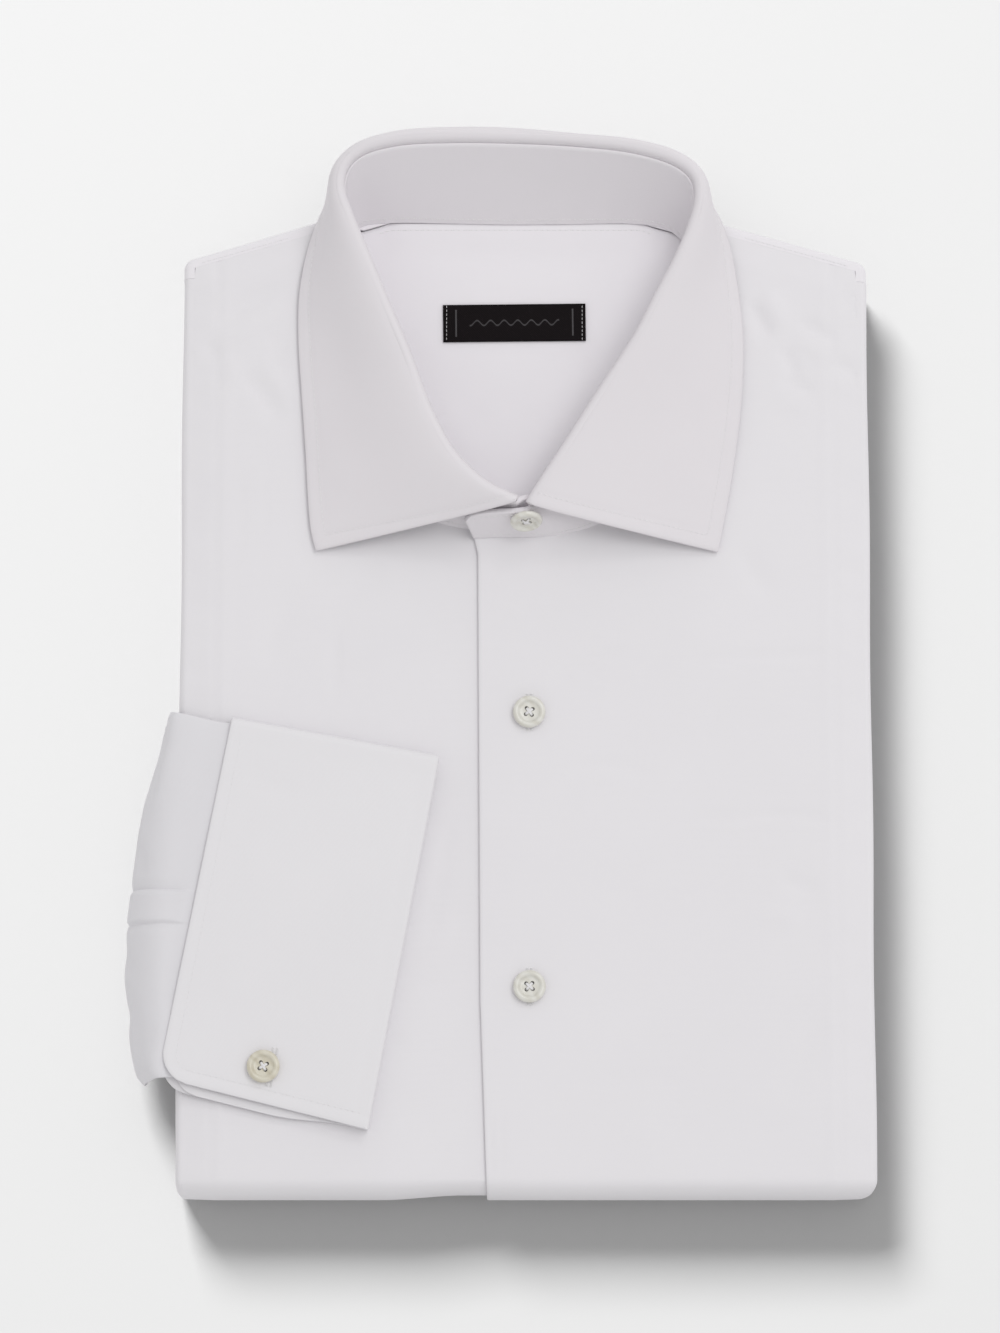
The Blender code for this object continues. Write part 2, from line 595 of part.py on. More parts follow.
# ---- collar -------------------------------------------------------------------------------------
def collar_sections(samples):
    """Rows of the collar table, resampled along the crest, each with the frame of its section."""
    order = ("crest_x", "crest_y", "crest_z", "foot_x", "foot_y", "edge_x", "edge_y", "edge_z", "roll")
    columns = [COLLAR_COLUMNS.index(name) for name in order]
    fine = smooth_curve([[row[c] for c in columns] for row in COLLAR_ROWS], samples)
    along = np.gradient(fine[:, 0:3], axis=0)
    along /= np.linalg.norm(along, axis=1)[:, None]
    sections = []
    for index, (row, heading) in enumerate(zip(fine, along)):
        outward = np.array((-heading[1], heading[0], 0.0))
        outward /= np.linalg.norm(outward)
        upward = np.cross(heading, outward)
        centre = row[0:3] + (outward - upward) * CREST_RADIUS * 0.7
        level = lap_depth(row[3]) if index < samples / 4 else 0.0
        foot = np.array((row[3], row[4], FOOT_Z - level))
        meeting = centre
        for _ in range(3):      # the stand runs straight from its foot to the side of the crest roll
            rising = meeting - foot
            lean, climb = rising @ outward, rising @ upward
            size = math.hypot(lean, climb)
            turn_start = math.atan2(lean / size, climb / size)
            meeting = centre + CREST_RADIUS * (upward * math.sin(turn_start) - outward * math.cos(turn_start))
        direction = (meeting - foot) / np.linalg.norm(meeting - foot)
        foot[2] += STAND_CLOTH / 2 * abs(lean) / size + 0.2
        sections.append(dict(foot=foot, meeting=meeting, direction=direction, centre=centre,
                             outward=outward, upward=upward, turn_start=turn_start,
                             edge=row[5:8], roll=row[8]))
    return sections


def leaf_line(section):
    """Stations of the leaf: on from the stand, round the crest and down to the rim."""
    centre, outward, upward = section["centre"], section["outward"], section["upward"]
    edge = section["edge"]
    line = [section["meeting"] - section["direction"] * (LEAF_SEAM_DROP - LEAF_SEAM_GAP)]
    for angle in np.linspace(section["turn_start"], math.pi / 2, CREST_STEPS + 1):
        line.append(centre + CREST_RADIUS * (upward * math.sin(angle) - outward * math.cos(angle)))
    top = line[-1]
    level = np.array((top[0] - edge[0], top[1] - edge[1], 0.0))
    hanging = ease(22.0, 34.0, top[2] - edge[2])
    lying = edge + level * 0.34 + np.array((0.0, 0.0, 4.2))
    falling = edge + outward * 1.0 + np.array((0.0, 0.0, 17.0))
    for step in range(1, LEAF_FALL_STEPS + 1):
        t = (step / LEAF_FALL_STEPS) ** 1.25
        line.append(bezier(top, top + outward * section["roll"], mix(lying, falling, hanging), edge, t))
    return line


def collar_leaf(collection):
    """The leaf: up from the stand, over the crest and down to its rim."""
    grid = [leaf_line(section) for section in collar_sections(COLLAR_SAMPLES)]
    return wall_from_grid("collar_leaf", grid, LEAF_CLOTH, 0, COTTON, collection, flip=True)


def stand_sections():
    """(foot, top) of the stand from the end of the underlap to the end of the overlap."""
    under_z, over_z = FOOT_Z - LAP_DEPTH + 0.2, FOOT_Z + 0.2
    under = [(np.array((fx, fy, under_z)), np.array((tx, ty, tz))) for fx, fy, tx, ty, tz in STAND_UNDERLAP]
    over = [(np.array((fx, fy, over_z)), np.array((tx, ty, tz))) for fx, fy, tx, ty, tz in STAND_OVERLAP]
    ring = [(section["foot"], section["meeting"] - section["direction"] * LEAF_SEAM_DROP)
            for section in collar_sections(COLLAR_SAMPLES)]
    return under + ring + over


def stand_grid():
    """Middle surface of the stand, one row for each section."""
    sections = stand_sections()
    middles = np.array([mix(foot, top, 0.5) for foot, top in sections])
    along = np.gradient(middles, axis=0)
    grid = []
    for index, (foot, top) in enumerate(sections):
        outward = np.array((-along[index][1], along[index][0], 0.0))
        outward /= np.linalg.norm(outward)
        from_end = min(index, len(sections) - 1 - index)
        bow = STAND_BOW * ease(3.0, 8.0, from_end)
        line = [mix(foot, top, t) + outward * bow * math.sin(math.pi * t)
                for t in np.linspace(0.0, 1.0, STAND_STEPS + 1)]
        grid.append(line)
    return np.array(grid)


def collar_stand(collection):
    """The stand, round the neck, its two ends lapped at the front."""
    return wall_from_grid("collar_stand", stand_grid(), STAND_CLOTH, 0, COTTON, collection, flip=True)


# ---- cuff ---------------------------------------------------------------------------------------
def cuff_frame():
    """Origin and unit directions of the cuff: p runs to the turned edge, q down the wrist."""
    corners = [np.array(corner, float) for corner in
               (CUFF_UPPER_LEFT, CUFF_UPPER_RIGHT, CUFF_LOWER_RIGHT, CUFF_LOWER_LEFT)]
    return corners


def cuff_plan(p, q):
    """Plan point at p mm from the free edge's line and share q of the way down the wrist."""
    upper_left, upper_right, lower_right, lower_left = cuff_frame()
    start = mix(upper_left, lower_left, q)
    end = mix(upper_right, lower_right, q)
    width = np.linalg.norm(end - start)
    return mix(start, end, p / width), width


def cuff_length():
    upper_left, _, _, lower_left = cuff_frame()
    return float(np.linalg.norm(lower_left - upper_left))


def cuff_free_edge(q):
    """Where the free edge lies at share q: it rounds off at the open end of the wrist."""
    left = (1.0 - q) * cuff_length()
    if left >= CUFF_CORNER:
        return 0.0
    rise = CUFF_CORNER - max(left, 0.0)
    return CUFF_CORNER - math.sqrt(max(CUFF_CORNER**2 - rise**2, 0.0))


def cuff_peek(q):
    """How far the under side of the wrist shows past the upper one, as a share of its length."""
    return CUFF_PEEK / cuff_length() * ease(0.7, 1.0, q)


def cuff_loop():
    """Stations round the flattened wrist: (share q, outer height, direction of depth)."""
    half = CUFF_HEIGHT / 2
    middle = CUFF_BOTTOM_Z + half
    fold = half / cuff_length()
    shares = (1.0, 0.975, 0.95, 0.925, 0.85, 0.7, 0.5, 0.3, 0.12)
    stations = [(q, 0.0, 1.0) for q in shares]
    stations += [(fold, math.cos(math.radians(a)), math.sin(math.radians(a))) for a in (0, 45, 90, 135, 180)]
    upper = [(q, middle + half, 0.0, 1.0) for q, _, _ in stations[:len(shares)]]
    turn = [(fold, middle, sine, cosine) for _, cosine, sine in stations[len(shares):]]
    lower = [(q, middle - half, 0.0, -1.0) for q in shares[::-1]]
    return upper, turn, lower


def cuff_section(q):
    """The turned-back wall as a hairpin: (p, depth below the outer face), once round."""
    free = cuff_free_edge(q)
    _, width = cuff_plan(0.0, min(max(q, 0.0), 1.0))
    inner_depth = 2 * CUFF_CLOTH + CUFF_LAYER_GAP
    bend = inner_depth / 2
    turn = width - bend
    sewn = free + CUFF_INSET
    outer = [(mix(free, turn, t), 0.0) for t in (0.0, 0.12, 0.5, 1.0)]
    nose = [(turn + bend * math.sin(math.radians(a)), bend - bend * math.cos(math.radians(a)))
            for a in (45, 90, 135)]
    inner = [(mix(turn, sewn, t), inner_depth) for t in (0.0, 0.5, 1.0)]
    inside = [(mix(sewn, turn, t), CUFF_CLOTH + CUFF_LAYER_GAP) for t in (0.0, 0.5, 1.0)]
    slit = CUFF_LAYER_GAP / 2
    hollow = [(turn + slit * math.sin(math.radians(a)), bend - slit * math.cos(math.radians(a)))
              for a in (135, 90, 45)]
    back = [(mix(turn, free, t), CUFF_CLOTH) for t in (0.0, 0.5, 0.88, 1.0)]
    return outer + nose + inner + inside + hollow + back


def cuff(collection):
    """The double cuff: one wall turned back on itself and flattened, open at the wrist slit."""
    half = CUFF_HEIGHT / 2
    upper, turn, lower = cuff_loop()
    rings = []
    for q, outer_z, _, sign in upper:
        rings.append([(*cuff_plan(p, q)[0], outer_z - depth) for p, depth in cuff_section(q)])
    for q, middle, sine, cosine in turn:
        ring = []
        for p, depth in cuff_section(q):
            radius = half - depth
            ring.append((*cuff_plan(p, q - sine * radius / cuff_length())[0], middle + cosine * radius))
        rings.append(ring)
    for q, outer_z, _, sign in lower:
        peek = cuff_peek(q)
        ring = []
        for p, depth in cuff_section(q):
            fading = 1.0 - ease(40.0, 70.0, p)
            ring.append((*cuff_plan(p, q + peek * fading)[0], outer_z + depth))
        rings.append(ring)
    around = len(rings[0])
    return solid_from_rings("cuff", rings, COTTON, collection, cap=strip_cap(around, around - 1))


# ---- sleeve -------------------------------------------------------------------------------------
def sleeve_outline_x(y):
    rows = sorted(SLEEVE_OUTLINE)
    return float(np.interp(y, [row[0] for row in rows], [row[1] for row in rows]))


def sleeve_mouth_x(y):
    """X of the sleeve's sewn end, inside the cuff's free edge."""
    edge = [cuff_plan(cuff_free_edge(q) + CUFF_INSET - 2 * GAP, q + cuff_peek(q))[0]
            for q in np.linspace(0.0, 1.0, 41)]
    edge.sort(key=lambda point: point[1])
    return float(np.interp(y, [point[1] for point in edge], [point[0] for point in edge]))


def sleeve_path(y, mouth_y):
    """Middle of the sleeve for one line along it, from between the folds to the cuff."""
    half = SLEEVE_CLOTH / 2
    outer = sleeve_outline_x(y) + half
    side = LEFT_X - half - 0.1
    bulge = side - outer
    share = bulge / 16.0
    mouth_x = sleeve_mouth_x(mouth_y)
    mouth_z = CUFF_BOTTOM_Z + CUFF_HEIGHT / 2
    entry_x = mouth_x - CUFF_INSET - 1.6
    shoulder_x = min(side + 1.2 - 0.35 * bulge, entry_x)
    raised = 1.0 - ease(4.0, 14.0, entry_x - shoulder_x)
    path = [
        (SLEEVE_START_X, SLEEVE_SLOT_Z),
        (LEFT_X - 0.6 - 0.05 * bulge, SLEEVE_SLOT_Z - 0.1 - 0.6 * share),
        (side - 0.45 * bulge, SLEEVE_SLOT_Z + 1.0 - 7.6 * share),
        (outer, mix(18.0, 13.0, share)),
        (mix(shoulder_x, outer, 0.62), mix(23.4, 23.0, share)),
        (shoulder_x, mix(27.4, mouth_z - 0.1, raised)),
    ]
    if entry_x - shoulder_x > 2.5:
        path.append((entry_x, mouth_z))
    path.append((mouth_x, mouth_z))
    return path


def sleeve_stations(step):
    """Share of the way to the mouth along the path, for fading the pleat and the width."""
    return step / (SLEEVE_PATH_STEPS - 1)


def sleeve(collection):
    """The flattened sleeve as it leaves the fold, wraps the side and enters the cuff."""
    middle = []
    for y in SLEEVE_STATIONS_Y:
        across = (y - SLEEVE_FOLDS_Y[0]) / (SLEEVE_FOLDS_Y[1] - SLEEVE_FOLDS_Y[0])
        mouth_y = mix(SLEEVE_MOUTH_Y[0], SLEEVE_MOUTH_Y[1], across)
        path = smooth_curve([(x, 0.0, z) for x, z in sleeve_path(y, mouth_y)], SLEEVE_PATH_STEPS)
        line = []
        for step, point in enumerate(path):
            closing = ease(0.62, 0.9, sleeve_stations(step))
            line.append((point[0], mix(y, mouth_y, closing), point[2]))
        middle.append(line)
    middle = np.array(middle)
    along = np.gradient(middle, axis=1)
    across = np.gradient(middle, axis=0)
    normal = np.cross(along, across)
    normal /= np.linalg.norm(normal, axis=2)[:, :, None]
    rings = []
    for step in range(SLEEVE_PATH_STEPS):
        outer, inner = [], []
        for index, y in enumerate(SLEEVE_STATIONS_Y):
            share = 2.0 * (y - SLEEVE_FOLDS_Y[0]) / (SLEEVE_FOLDS_Y[1] - SLEEVE_FOLDS_Y[0]) - 1.0
            half = SLEEVE_CLOTH / 2 * math.sqrt(max(0.0, 1.0 - abs(share) ** 16))
            pleated = PLEAT_Y[0] - 0.01 <= y <= PLEAT_Y[1] + 0.01
            pleat = PLEAT_RISE * ease(0.45, 0.75, sleeve_stations(step)) if pleated else 0.0
            pleat *= 1.0 - ease(0.86, 0.94, sleeve_stations(step))
            outer.append(middle[index, step] + normal[index, step] * (half + pleat))
            inner.append(middle[index, step] - normal[index, step] * half)
        rings.append(outer + inner[-2:0:-1])
    around = len(rings[0])
    return solid_from_rings("sleeve", rings, COTTON, collection, flip=True, cap=strip_cap(around, around))


# ---- buttons ------------------------------------------------------------------------------------
def button(name, place, normal, turn, parts, cutters):
    """A four-hole shirt button with a raised rim, its flat back at place."""
    points = [(radius, 0.0, height) for radius, height in BUTTON_PROFILE]
    edges = [(i, i + 1) for i in range(len(points) - 1)]
    mesh = bpy.data.meshes.new(name)
    mesh.from_pydata([[value * METRES_PER_MM for value in point] for point in points], edges, [])
    mesh.materials.append(new_material(name, PEARL))
    piece = bpy.data.objects.new(name, mesh)
    parts.objects.link(piece)
    screw = piece.modifiers.new("turned", "SCREW")
    screw.steps = screw.render_steps = BUTTON_SEGMENTS
    screw.use_merge_vertices = True
    screw.merge_threshold = 0.00001
    screw.use_smooth_shade = True
    for index in range(4):
        angle = math.radians(45 + 90 * index)
        bpy.ops.mesh.primitive_cylinder_add(vertices=8, radius=BUTTON_HOLE_RADIUS * METRES_PER_MM,
                                            depth=6.0 * METRES_PER_MM)
        cutter = bpy.context.object
        cutter.name = f"{name}_hole_{index + 1}"
        cutter.display_type = "WIRE"
        cutter.hide_render = True
        cutter.location = (BUTTON_HOLE_OFFSET * METRES_PER_MM * math.cos(angle),
                           BUTTON_HOLE_OFFSET * METRES_PER_MM * math.sin(angle), 0.0)
        cutter.rotation_euler = (0.0, 0.0, math.radians(22.5))
        for owner in list(cutter.users_collection):
            owner.objects.unlink(cutter)
        cutters.objects.link(cutter)
        cutter.parent = piece
        hole = piece.modifiers.new(f"hole {index + 1}", "BOOLEAN")
        hole.operation = "DIFFERENCE"
        hole.solver = "EXACT"
        hole.object = cutter
    piece.location = [value * METRES_PER_MM for value in place]
    tilt = Vector(normal).to_track_quat("Z", "Y").to_euler() if normal[2] < 1.0 else (0.0, 0.0, turn)
    piece.rotation_euler = tilt
    return piece


def all_buttons(parts, cutters):
    up = (0.0, 0.0, 1.0)
    for index, y in enumerate(FRONT_BUTTONS_Y):
        place = (FRONT_BUTTON_X, y, TOP_Z + GAP)
        button(f"front_button_{index + 1}", place, up, math.radians(8 * index), parts, cutters)
    place = (*CUFF_BUTTON_XY, CUFF_BOTTOM_Z + CUFF_HEIGHT + GAP)
    button("cuff_button", place, up, math.radians(-14), parts, cutters)
    height = COLLAR_BUTTON_RISE * STAND_STEPS
    low, high = int(height), int(height) + 1
    overlap = stand_grid()[-len(STAND_OVERLAP) - 2:]
    line = [mix(row[low], row[high], height - low) for row in overlap]
    spot = next(index for index, point in enumerate(line) if point[0] < COLLAR_BUTTON_X) - 1
    before, after = line[spot], line[spot + 1]
    share = (before[0] - COLLAR_BUTTON_X) / (before[0] - after[0])
    across = after - before
    rising = mix(overlap[spot][high] - overlap[spot][low], overlap[spot + 1][high] - overlap[spot + 1][low], share)
    outward = np.cross(rising, across)
    outward /= np.linalg.norm(outward)
    seat = mix(before, after, share) + outward * (STAND_CLOTH / 2 + GAP)
    button("collar_button", seat, outward, 0.0, parts, cutters)


# ---- hidden layers ------------------------------------------------------------------------------
def layer_ring(z, side, top, reach, in_slot):
    """One level of the hidden layers. side is the inset from both sides, top the inset from the
    shoulder line or, below the yoke, the straight end of the tails."""
    left, right = LEFT_X + side, RIGHT_X - side
    corner = 3.0
    if top is None:
        left_y = right_y = neck_y = HIDDEN_TAIL_Y
        slopes = (0.0, 0.0)
    elif top < 0.0:
        left_y = right_y = neck_y = HIDDEN_TAIL_Y + top
        slopes = (0.0, 0.0)
    else:
        slopes = (SHOULDER_SLOPE["left"], SHOULDER_SLOPE["right"])
        left_y = SHOULDER_Y["left"] + slopes[0] * side - top * math.hypot(1.0, slopes[0])
        right_y = SHOULDER_Y["right"] + slopes[1] * side - top * math.hypot(1.0, slopes[1])
        neck_y = NECK_EDGE_Y - top
    heel_y = TURN_Y + 1.4
    hollow_y = heel_y - 0.2 if in_slot else mix(heel_y, TURN_Y - reach, 0.85)
    outline = [
        (left, heel_y),
        (left, -40.0),
        (left, left_y - corner),
        (left + 0.3 * corner, left_y - 0.3 * corner),
        (left + corner, left_y + slopes[0] * corner),
        (-40.0, neck_y),
        (52.0, neck_y),
        (right - corner, right_y + slopes[1] * corner),
        (right - 0.3 * corner, right_y - 0.3 * corner),
        (right, right_y - corner),
        (right, -40.0),
        (right, heel_y),
        (RIGHT_X - 8.4, hollow_y),
        (RIGHT_X - 15.0, TURN_Y - reach),
        (LEFT_X + 10.0, TURN_Y - reach),
        (LEFT_X + 8.0, hollow_y),
    ]
    return [(x, y, z) for x, y in outline]


def folded_layers(collection):
    """All that the fold hides, as one solid that fills the bundle, grooved where layers end."""
    inside_slot = EDGE_REACH + TURN_IN + 0.4
    edge = EDGE_REACH + 1.6
    lower_top = LOWER_END_Z - CLOTH - GAP - 0.1
    upper_bottom = UPPER_END_Z + CLOTH + GAP + 0.1
    groove = -LAYER_GROOVE
    # (z, side inset, top end)
    levels = (
        (HIDDEN_BOTTOM_Z, 3.6, None), (3.9, 2.3, None), (4.2, 2.2, groove), (4.5, 2.2, None),
        (5.7, 2.1, None), (6.0, 2.1, groove), (6.3, 2.2, None), (7.6, 2.8, None),
        (lower_top, 4.9, None), (lower_top + 0.1, inside_slot, groove),
        (LOWER_END_Z + GAP, inside_slot, groove), (LOWER_END_Z + GAP + 0.1, edge, None),
        (11.9, edge, None), (12.3, edge + LAYER_GROOVE, groove), (12.7, edge, None),
        (UPPER_END_Z - GAP - 0.1, edge, None), (UPPER_END_Z - GAP, inside_slot, None),
        (upper_bottom, inside_slot, None), (upper_bottom + 0.1, 4.9, 5.3), (17.2, 2.6, 3.2),
        (19.4, 2.0, 2.6), (21.4, 2.6, 3.2), (22.2, 4.2, 4.8), (HIDDEN_TOP_Z, 6.5, 7.0),
    )
    rings = []
    for z, side, top in levels:
        offset = (z - MID_Z) / HIDDEN_HALF
        reach = HIDDEN_REACH * max(0.0, 1.0 - offset**2)
        in_slot = lower_top - 0.2 < z < upper_bottom + 0.2
        rings.append(layer_ring(z, side, top, reach, in_slot))
    return solid_from_rings("folded_layers", rings, COTTON, collection, flip=True)


def build_shirt():
    clear_scene()
    parts = new_collection("folded_dress_shirt")
    cutters = new_collection("cutters", visible=False)
    folded_layers(parts)
    front_panel("front_right", "left", parts)
    front_panel("front_left", "right", parts)
    yoke(parts)
    yoke_facing(parts)
    neck_label(parts)
    collar_stand(parts)
    collar_leaf(parts)
    sleeve(parts)
    cuff(parts)
    all_buttons(parts, cutters)
    bpy.context.view_layer.update()


build_shirt()
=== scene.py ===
"""A white long sleeve dress shirt, folded flat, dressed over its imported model.

Sizes are in millimetres in the folded shirt's own frame: +Y runs to the collar, +X to the
wearer's left and +Z up from the table. Every mesh is made in metres.
"""

import logging
from collections.abc import Callable, Iterable, Sequence
from dataclasses import dataclass
from enum import Enum
from math import atan2, ceil, copysign, cos, hypot, inf, pi, radians, sin, sqrt, tan

import bpy
import numpy as np
from bpy.types import ID, Material, Mesh, Node, NodeSocket, NodeTree, Object
from mathutils import Matrix, Vector

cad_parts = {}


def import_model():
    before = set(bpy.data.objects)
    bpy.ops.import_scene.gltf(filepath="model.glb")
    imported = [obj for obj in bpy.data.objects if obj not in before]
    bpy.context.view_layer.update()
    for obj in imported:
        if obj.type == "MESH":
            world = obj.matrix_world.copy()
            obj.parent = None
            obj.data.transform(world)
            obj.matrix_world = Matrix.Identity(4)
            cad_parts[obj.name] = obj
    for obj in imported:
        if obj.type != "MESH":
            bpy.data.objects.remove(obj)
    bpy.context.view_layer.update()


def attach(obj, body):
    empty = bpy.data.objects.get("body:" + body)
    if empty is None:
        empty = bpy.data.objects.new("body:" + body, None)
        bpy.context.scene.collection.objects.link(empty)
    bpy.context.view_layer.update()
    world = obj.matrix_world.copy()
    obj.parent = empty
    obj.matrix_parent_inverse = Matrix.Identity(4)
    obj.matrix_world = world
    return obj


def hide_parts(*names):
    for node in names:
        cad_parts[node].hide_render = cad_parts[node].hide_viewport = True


LOG = logging.getLogger("folded_shirt")
MM = 0.001  # in metres; every other size below is in millimetres unless it says so
BODY = "root"  # the one body of the folded shirt
GAP = 0.3  # between two pieces that lie on each other
THREAD_RISE = 0.02  # of a row of stitches above the cloth
FAR = 1e9  # farther than any point
Array = np.ndarray
Values = float | Array
Pair = tuple[float, float]
Triple = tuple[float, float, float]
Plan = tuple[Pair, ...]


# ---- curves and small sums
def ease(low: float, high: float, value: Values) -> Array:
    """Step smoothly from 0 at low to 1 at high."""
    t = np.clip((np.asarray(value, float) - low) / (high - low), 0.0, 1.0)
    return t * t * (3.0 - 2.0 * t)


def mix(a: Values, b: Values, t: Values) -> Values:
    """Return the point at share t between a and b."""
    return a + (b - a) * t


def unit(vectors: Array) -> Array:
    """Return vectors scaled to a length of one."""
    return vectors / np.maximum(np.linalg.norm(vectors, axis=-1, keepdims=True), 1e-9)


def cos_sin(degrees: float) -> Pair:
    """Return the cosine and the sine of an angle."""
    return cos(radians(degrees)), sin(radians(degrees))


def arc_lengths(line: Array) -> Array:
    """Return the distance along a line of points from its start to each point."""
    return np.insert(np.cumsum(np.linalg.norm(np.diff(line[:, :3], axis=0), axis=1)), 0, 0.0)


def runs(points: Array, axis: int) -> Array:
    """Return how far each point of a grid lies from the first one along an axis."""
    steps = np.linalg.norm(np.diff(points, axis=axis), axis=2)
    return np.insert(np.cumsum(steps, axis=axis), 0, 0.0, axis=axis)


def point_at(distance: Values, distances: Array, points: Array) -> Array:
    """Return the point, or points, at a distance on a line whose distances rise or fall."""
    order = slice(None) if distances[-1] > distances[0] else slice(None, None, -1)
    return np.stack([np.interp(distance, distances[order], column[order]) for column in points.T], axis=-1)


def smooth_curve(points: Sequence, samples: int) -> Array:
    """Draw a Catmull-Rom curve through points.

    Args:
        points: Rows of two or more columns, the first three a place.
        samples: How many evenly parted rows to return.

    Returns:
        The samples, with as many columns as points.
    """
    points = np.asarray(points, float)
    knots = np.insert(np.cumsum(np.linalg.norm(np.diff(points, axis=0), axis=1) ** 0.5), 0, 0.0)
    slopes = np.gradient(points, knots, axis=0)
    t = np.linspace(0.0, 1.0, 12, endpoint=False)[:, None]
    spans = [(2 * t**3 - 3 * t**2 + 1) * a + (t**3 - 2 * t**2 + t) * width * leaving
             + (3 * t**2 - 2 * t**3) * b + (t**3 - t**2) * width * arriving
             for a, b, leaving, arriving, width in zip(points, points[1:], slopes, slopes[1:], np.diff(knots))]
    fine = np.concatenate([*spans, points[-1:]])
    lengths = arc_lengths(fine)
    return point_at(np.linspace(0.0, lengths[-1], samples), lengths, fine)


def rounded_polyline(corners: Sequence, radii: Sequence[float], steps: int) -> list[tuple[Array, Array]]:
    """Round each inner corner of an open polyline.

    Args:
        corners: Plan points.
        radii: One radius for each inner corner.
        steps: Steps of each rounded corner.

    Returns:
        The points, each with its heading.
    """
    corners = [np.array(corner, float) for corner in corners]
    headings = [unit(after - corner) for corner, after in zip(corners, corners[1:])]
    found = [(corners[0], headings[0])]
    for corner, radius, before, after in zip(corners[1:], radii, headings, headings[1:]):
        turn = atan2(before[0] * after[1] - before[1] * after[0], before @ after)
        start = corner - before * radius * tan(abs(turn) / 2)
        centre = start + np.array((-before[1], before[0])) * copysign(radius, turn)
        for angle in np.linspace(0.0, turn, steps + 1):
            cosine, sine = cos(angle), sin(angle)
            rotate = np.array(((cosine, -sine), (sine, cosine)))
            found.append((centre + rotate @ (start - centre), rotate @ before))
    return [*found, (corners[-1], headings[-1])]


def parted(stations: Sequence[float], step: float) -> Array:
    """Part each interval between stations into equal parts no longer than step.

    Args:
        stations: Values in order.
        step: The widest part allowed.

    Returns:
        The stations and the values between them.
    """
    fine = [stations[0]]
    for start, end in zip(stations, stations[1:]):
        parts = max(1, ceil(abs(end - start) / step))
        fine += [mix(start, end, (i + 1) / parts) for i in range(parts)]
    return np.array(fine)


# ---- creases
@dataclass(frozen=True)
class Crease:
    """A soft trough (height below nothing) or ridge along a path in plan.

    Lean, from -1 to 1, makes its left side wider than its right. Fade is the share of its length
    over which each end dies out.
    """

    path: Plan
    height: float
    width: float
    lean: float = 0.0
    fade: float = 0.35

    def lift(self, x: Array, y: Array) -> Array:
        """Work out this crease's lift of the cloth.

        Args:
            x: Any array of plan x.
            y: The same of plan y.

        Returns:
            How far this crease lifts the cloth at each point.
        """
        path = np.array(self.path, float)
        if len(path) > 2:
            path = smooth_curve(path, 4 * len(path))
        lengths = arc_lengths(path)
        nearest, share, side = np.full(x.shape, FAR), np.zeros(x.shape), np.zeros(x.shape)
        for corner, after, start, end in zip(path, path[1:], lengths, lengths[1:]):
            heading = (after - corner) / (end - start)
            t = np.clip((x - corner[0]) * heading[0] + (y - corner[1]) * heading[1], 0.0, end - start)
            off_x, off_y = x - corner[0] - heading[0] * t, y - corner[1] - heading[1] * t
            apart = np.hypot(off_x, off_y)
            nearer = apart < nearest
            nearest = np.where(nearer, apart, nearest)
            share = np.where(nearer, (start + t) / lengths[-1], share)
            side = np.where(nearer, np.sign(heading[0] * off_y - heading[1] * off_x), side)
        ends = ease(0.0, self.fade, share) * ease(0.0, self.fade, 1.0 - share)
        return self.height * ends * np.exp(-(nearest / (self.width * (1.0 + self.lean * side))) ** 2)


@dataclass(frozen=True)
class SoftWaves:
    """The slight unevenness of cloth that was pressed by hand: largest lift, wave length and seed."""

    height: float
    length: float
    seed: int

    def lift(self, x: Array, y: Array) -> Array:
        """Add up seven slow waves.

        Args:
            x: Any array of plan x.
            y: The same of plan y.

        Returns:
            The lift at each point.
        """
        chooser = np.random.default_rng(self.seed)
        total = np.zeros(np.shape(x))
        for _ in range(7):
            angle, phase = chooser.uniform(0.0, pi), chooser.uniform(0.0, 2 * pi)
            length = self.length * chooser.uniform(0.6, 1.7)
            total += np.sin((x * cos(angle) + y * sin(angle)) * 2 * pi / length + phase)
        return self.height * total / 4.0


def lift_of(shapes: Iterable[Crease | SoftWaves], x: Array, y: Array) -> Array:
    """Return how far creases and waves lift the cloth together."""
    return sum(shape.lift(x, y) for shape in shapes)


# ---- cloth meshes
@dataclass
class ClothGrid:
    """A sheet of cloth as rows of points, with its flat lay, if it isn't plain, and its outer side."""

    points: Array
    flip: bool = False
    lay: Array | None = None

    def normals(self) -> Array:
        """Return the outward unit normal at each point."""
        across, along = np.gradient(self.points, axis=1), np.gradient(self.points, axis=0)
        return unit(np.cross(across, along) * (-1.0 if self.flip else 1.0))

    def flat_lay(self) -> Array:
        """Return the flat place of each point: distance along its row and along its column."""
        return np.stack([runs(self.points, 1), runs(self.points, 0)], axis=2) if self.lay is None else self.lay

    def faces(self) -> list[tuple[int, ...]]:
        """List the quads of the grid, outer side up.

        Returns:
            Their point numbers.
        """
        rows, columns = self.points.shape[:2]
        quads = [(r * columns + c, r * columns + c + 1, (r + 1) * columns + c + 1, (r + 1) * columns + c)
                 for r in range(rows - 1) for c in range(columns - 1)]
        return [quad[::-1] for quad in quads] if self.flip else quads


def placed(name: str, data: ID) -> Object:
    """Make a new object and link it to the scene.

    Args:
        name: Its name.
        data: Its mesh, light or camera.

    Returns:
        The object.
    """
    thing = bpy.data.objects.new(name, data)
    bpy.context.scene.collection.objects.link(thing)
    return thing


def made_plain(piece: Object) -> Mesh:
    """Return the mesh that the modifiers of a piece make."""
    bpy.context.view_layer.update()
    return bpy.data.meshes.new_from_object(piece.evaluated_get(bpy.context.evaluated_depsgraph_get()))


def dress_mesh(mesh: Mesh, finish: "Finish", sharp: float) -> None:
    """Give a mesh its finish, and shade edges sharp where it turns by more than sharp.

    Args:
        mesh: Changed in place.
        finish: What it is made of.
        sharp: In degrees.
    """
    mesh.shade_smooth()
    mesh.set_sharp_from_angle(angle=radians(sharp))
    mesh.materials.clear()
    mesh.materials.append(finish.material())


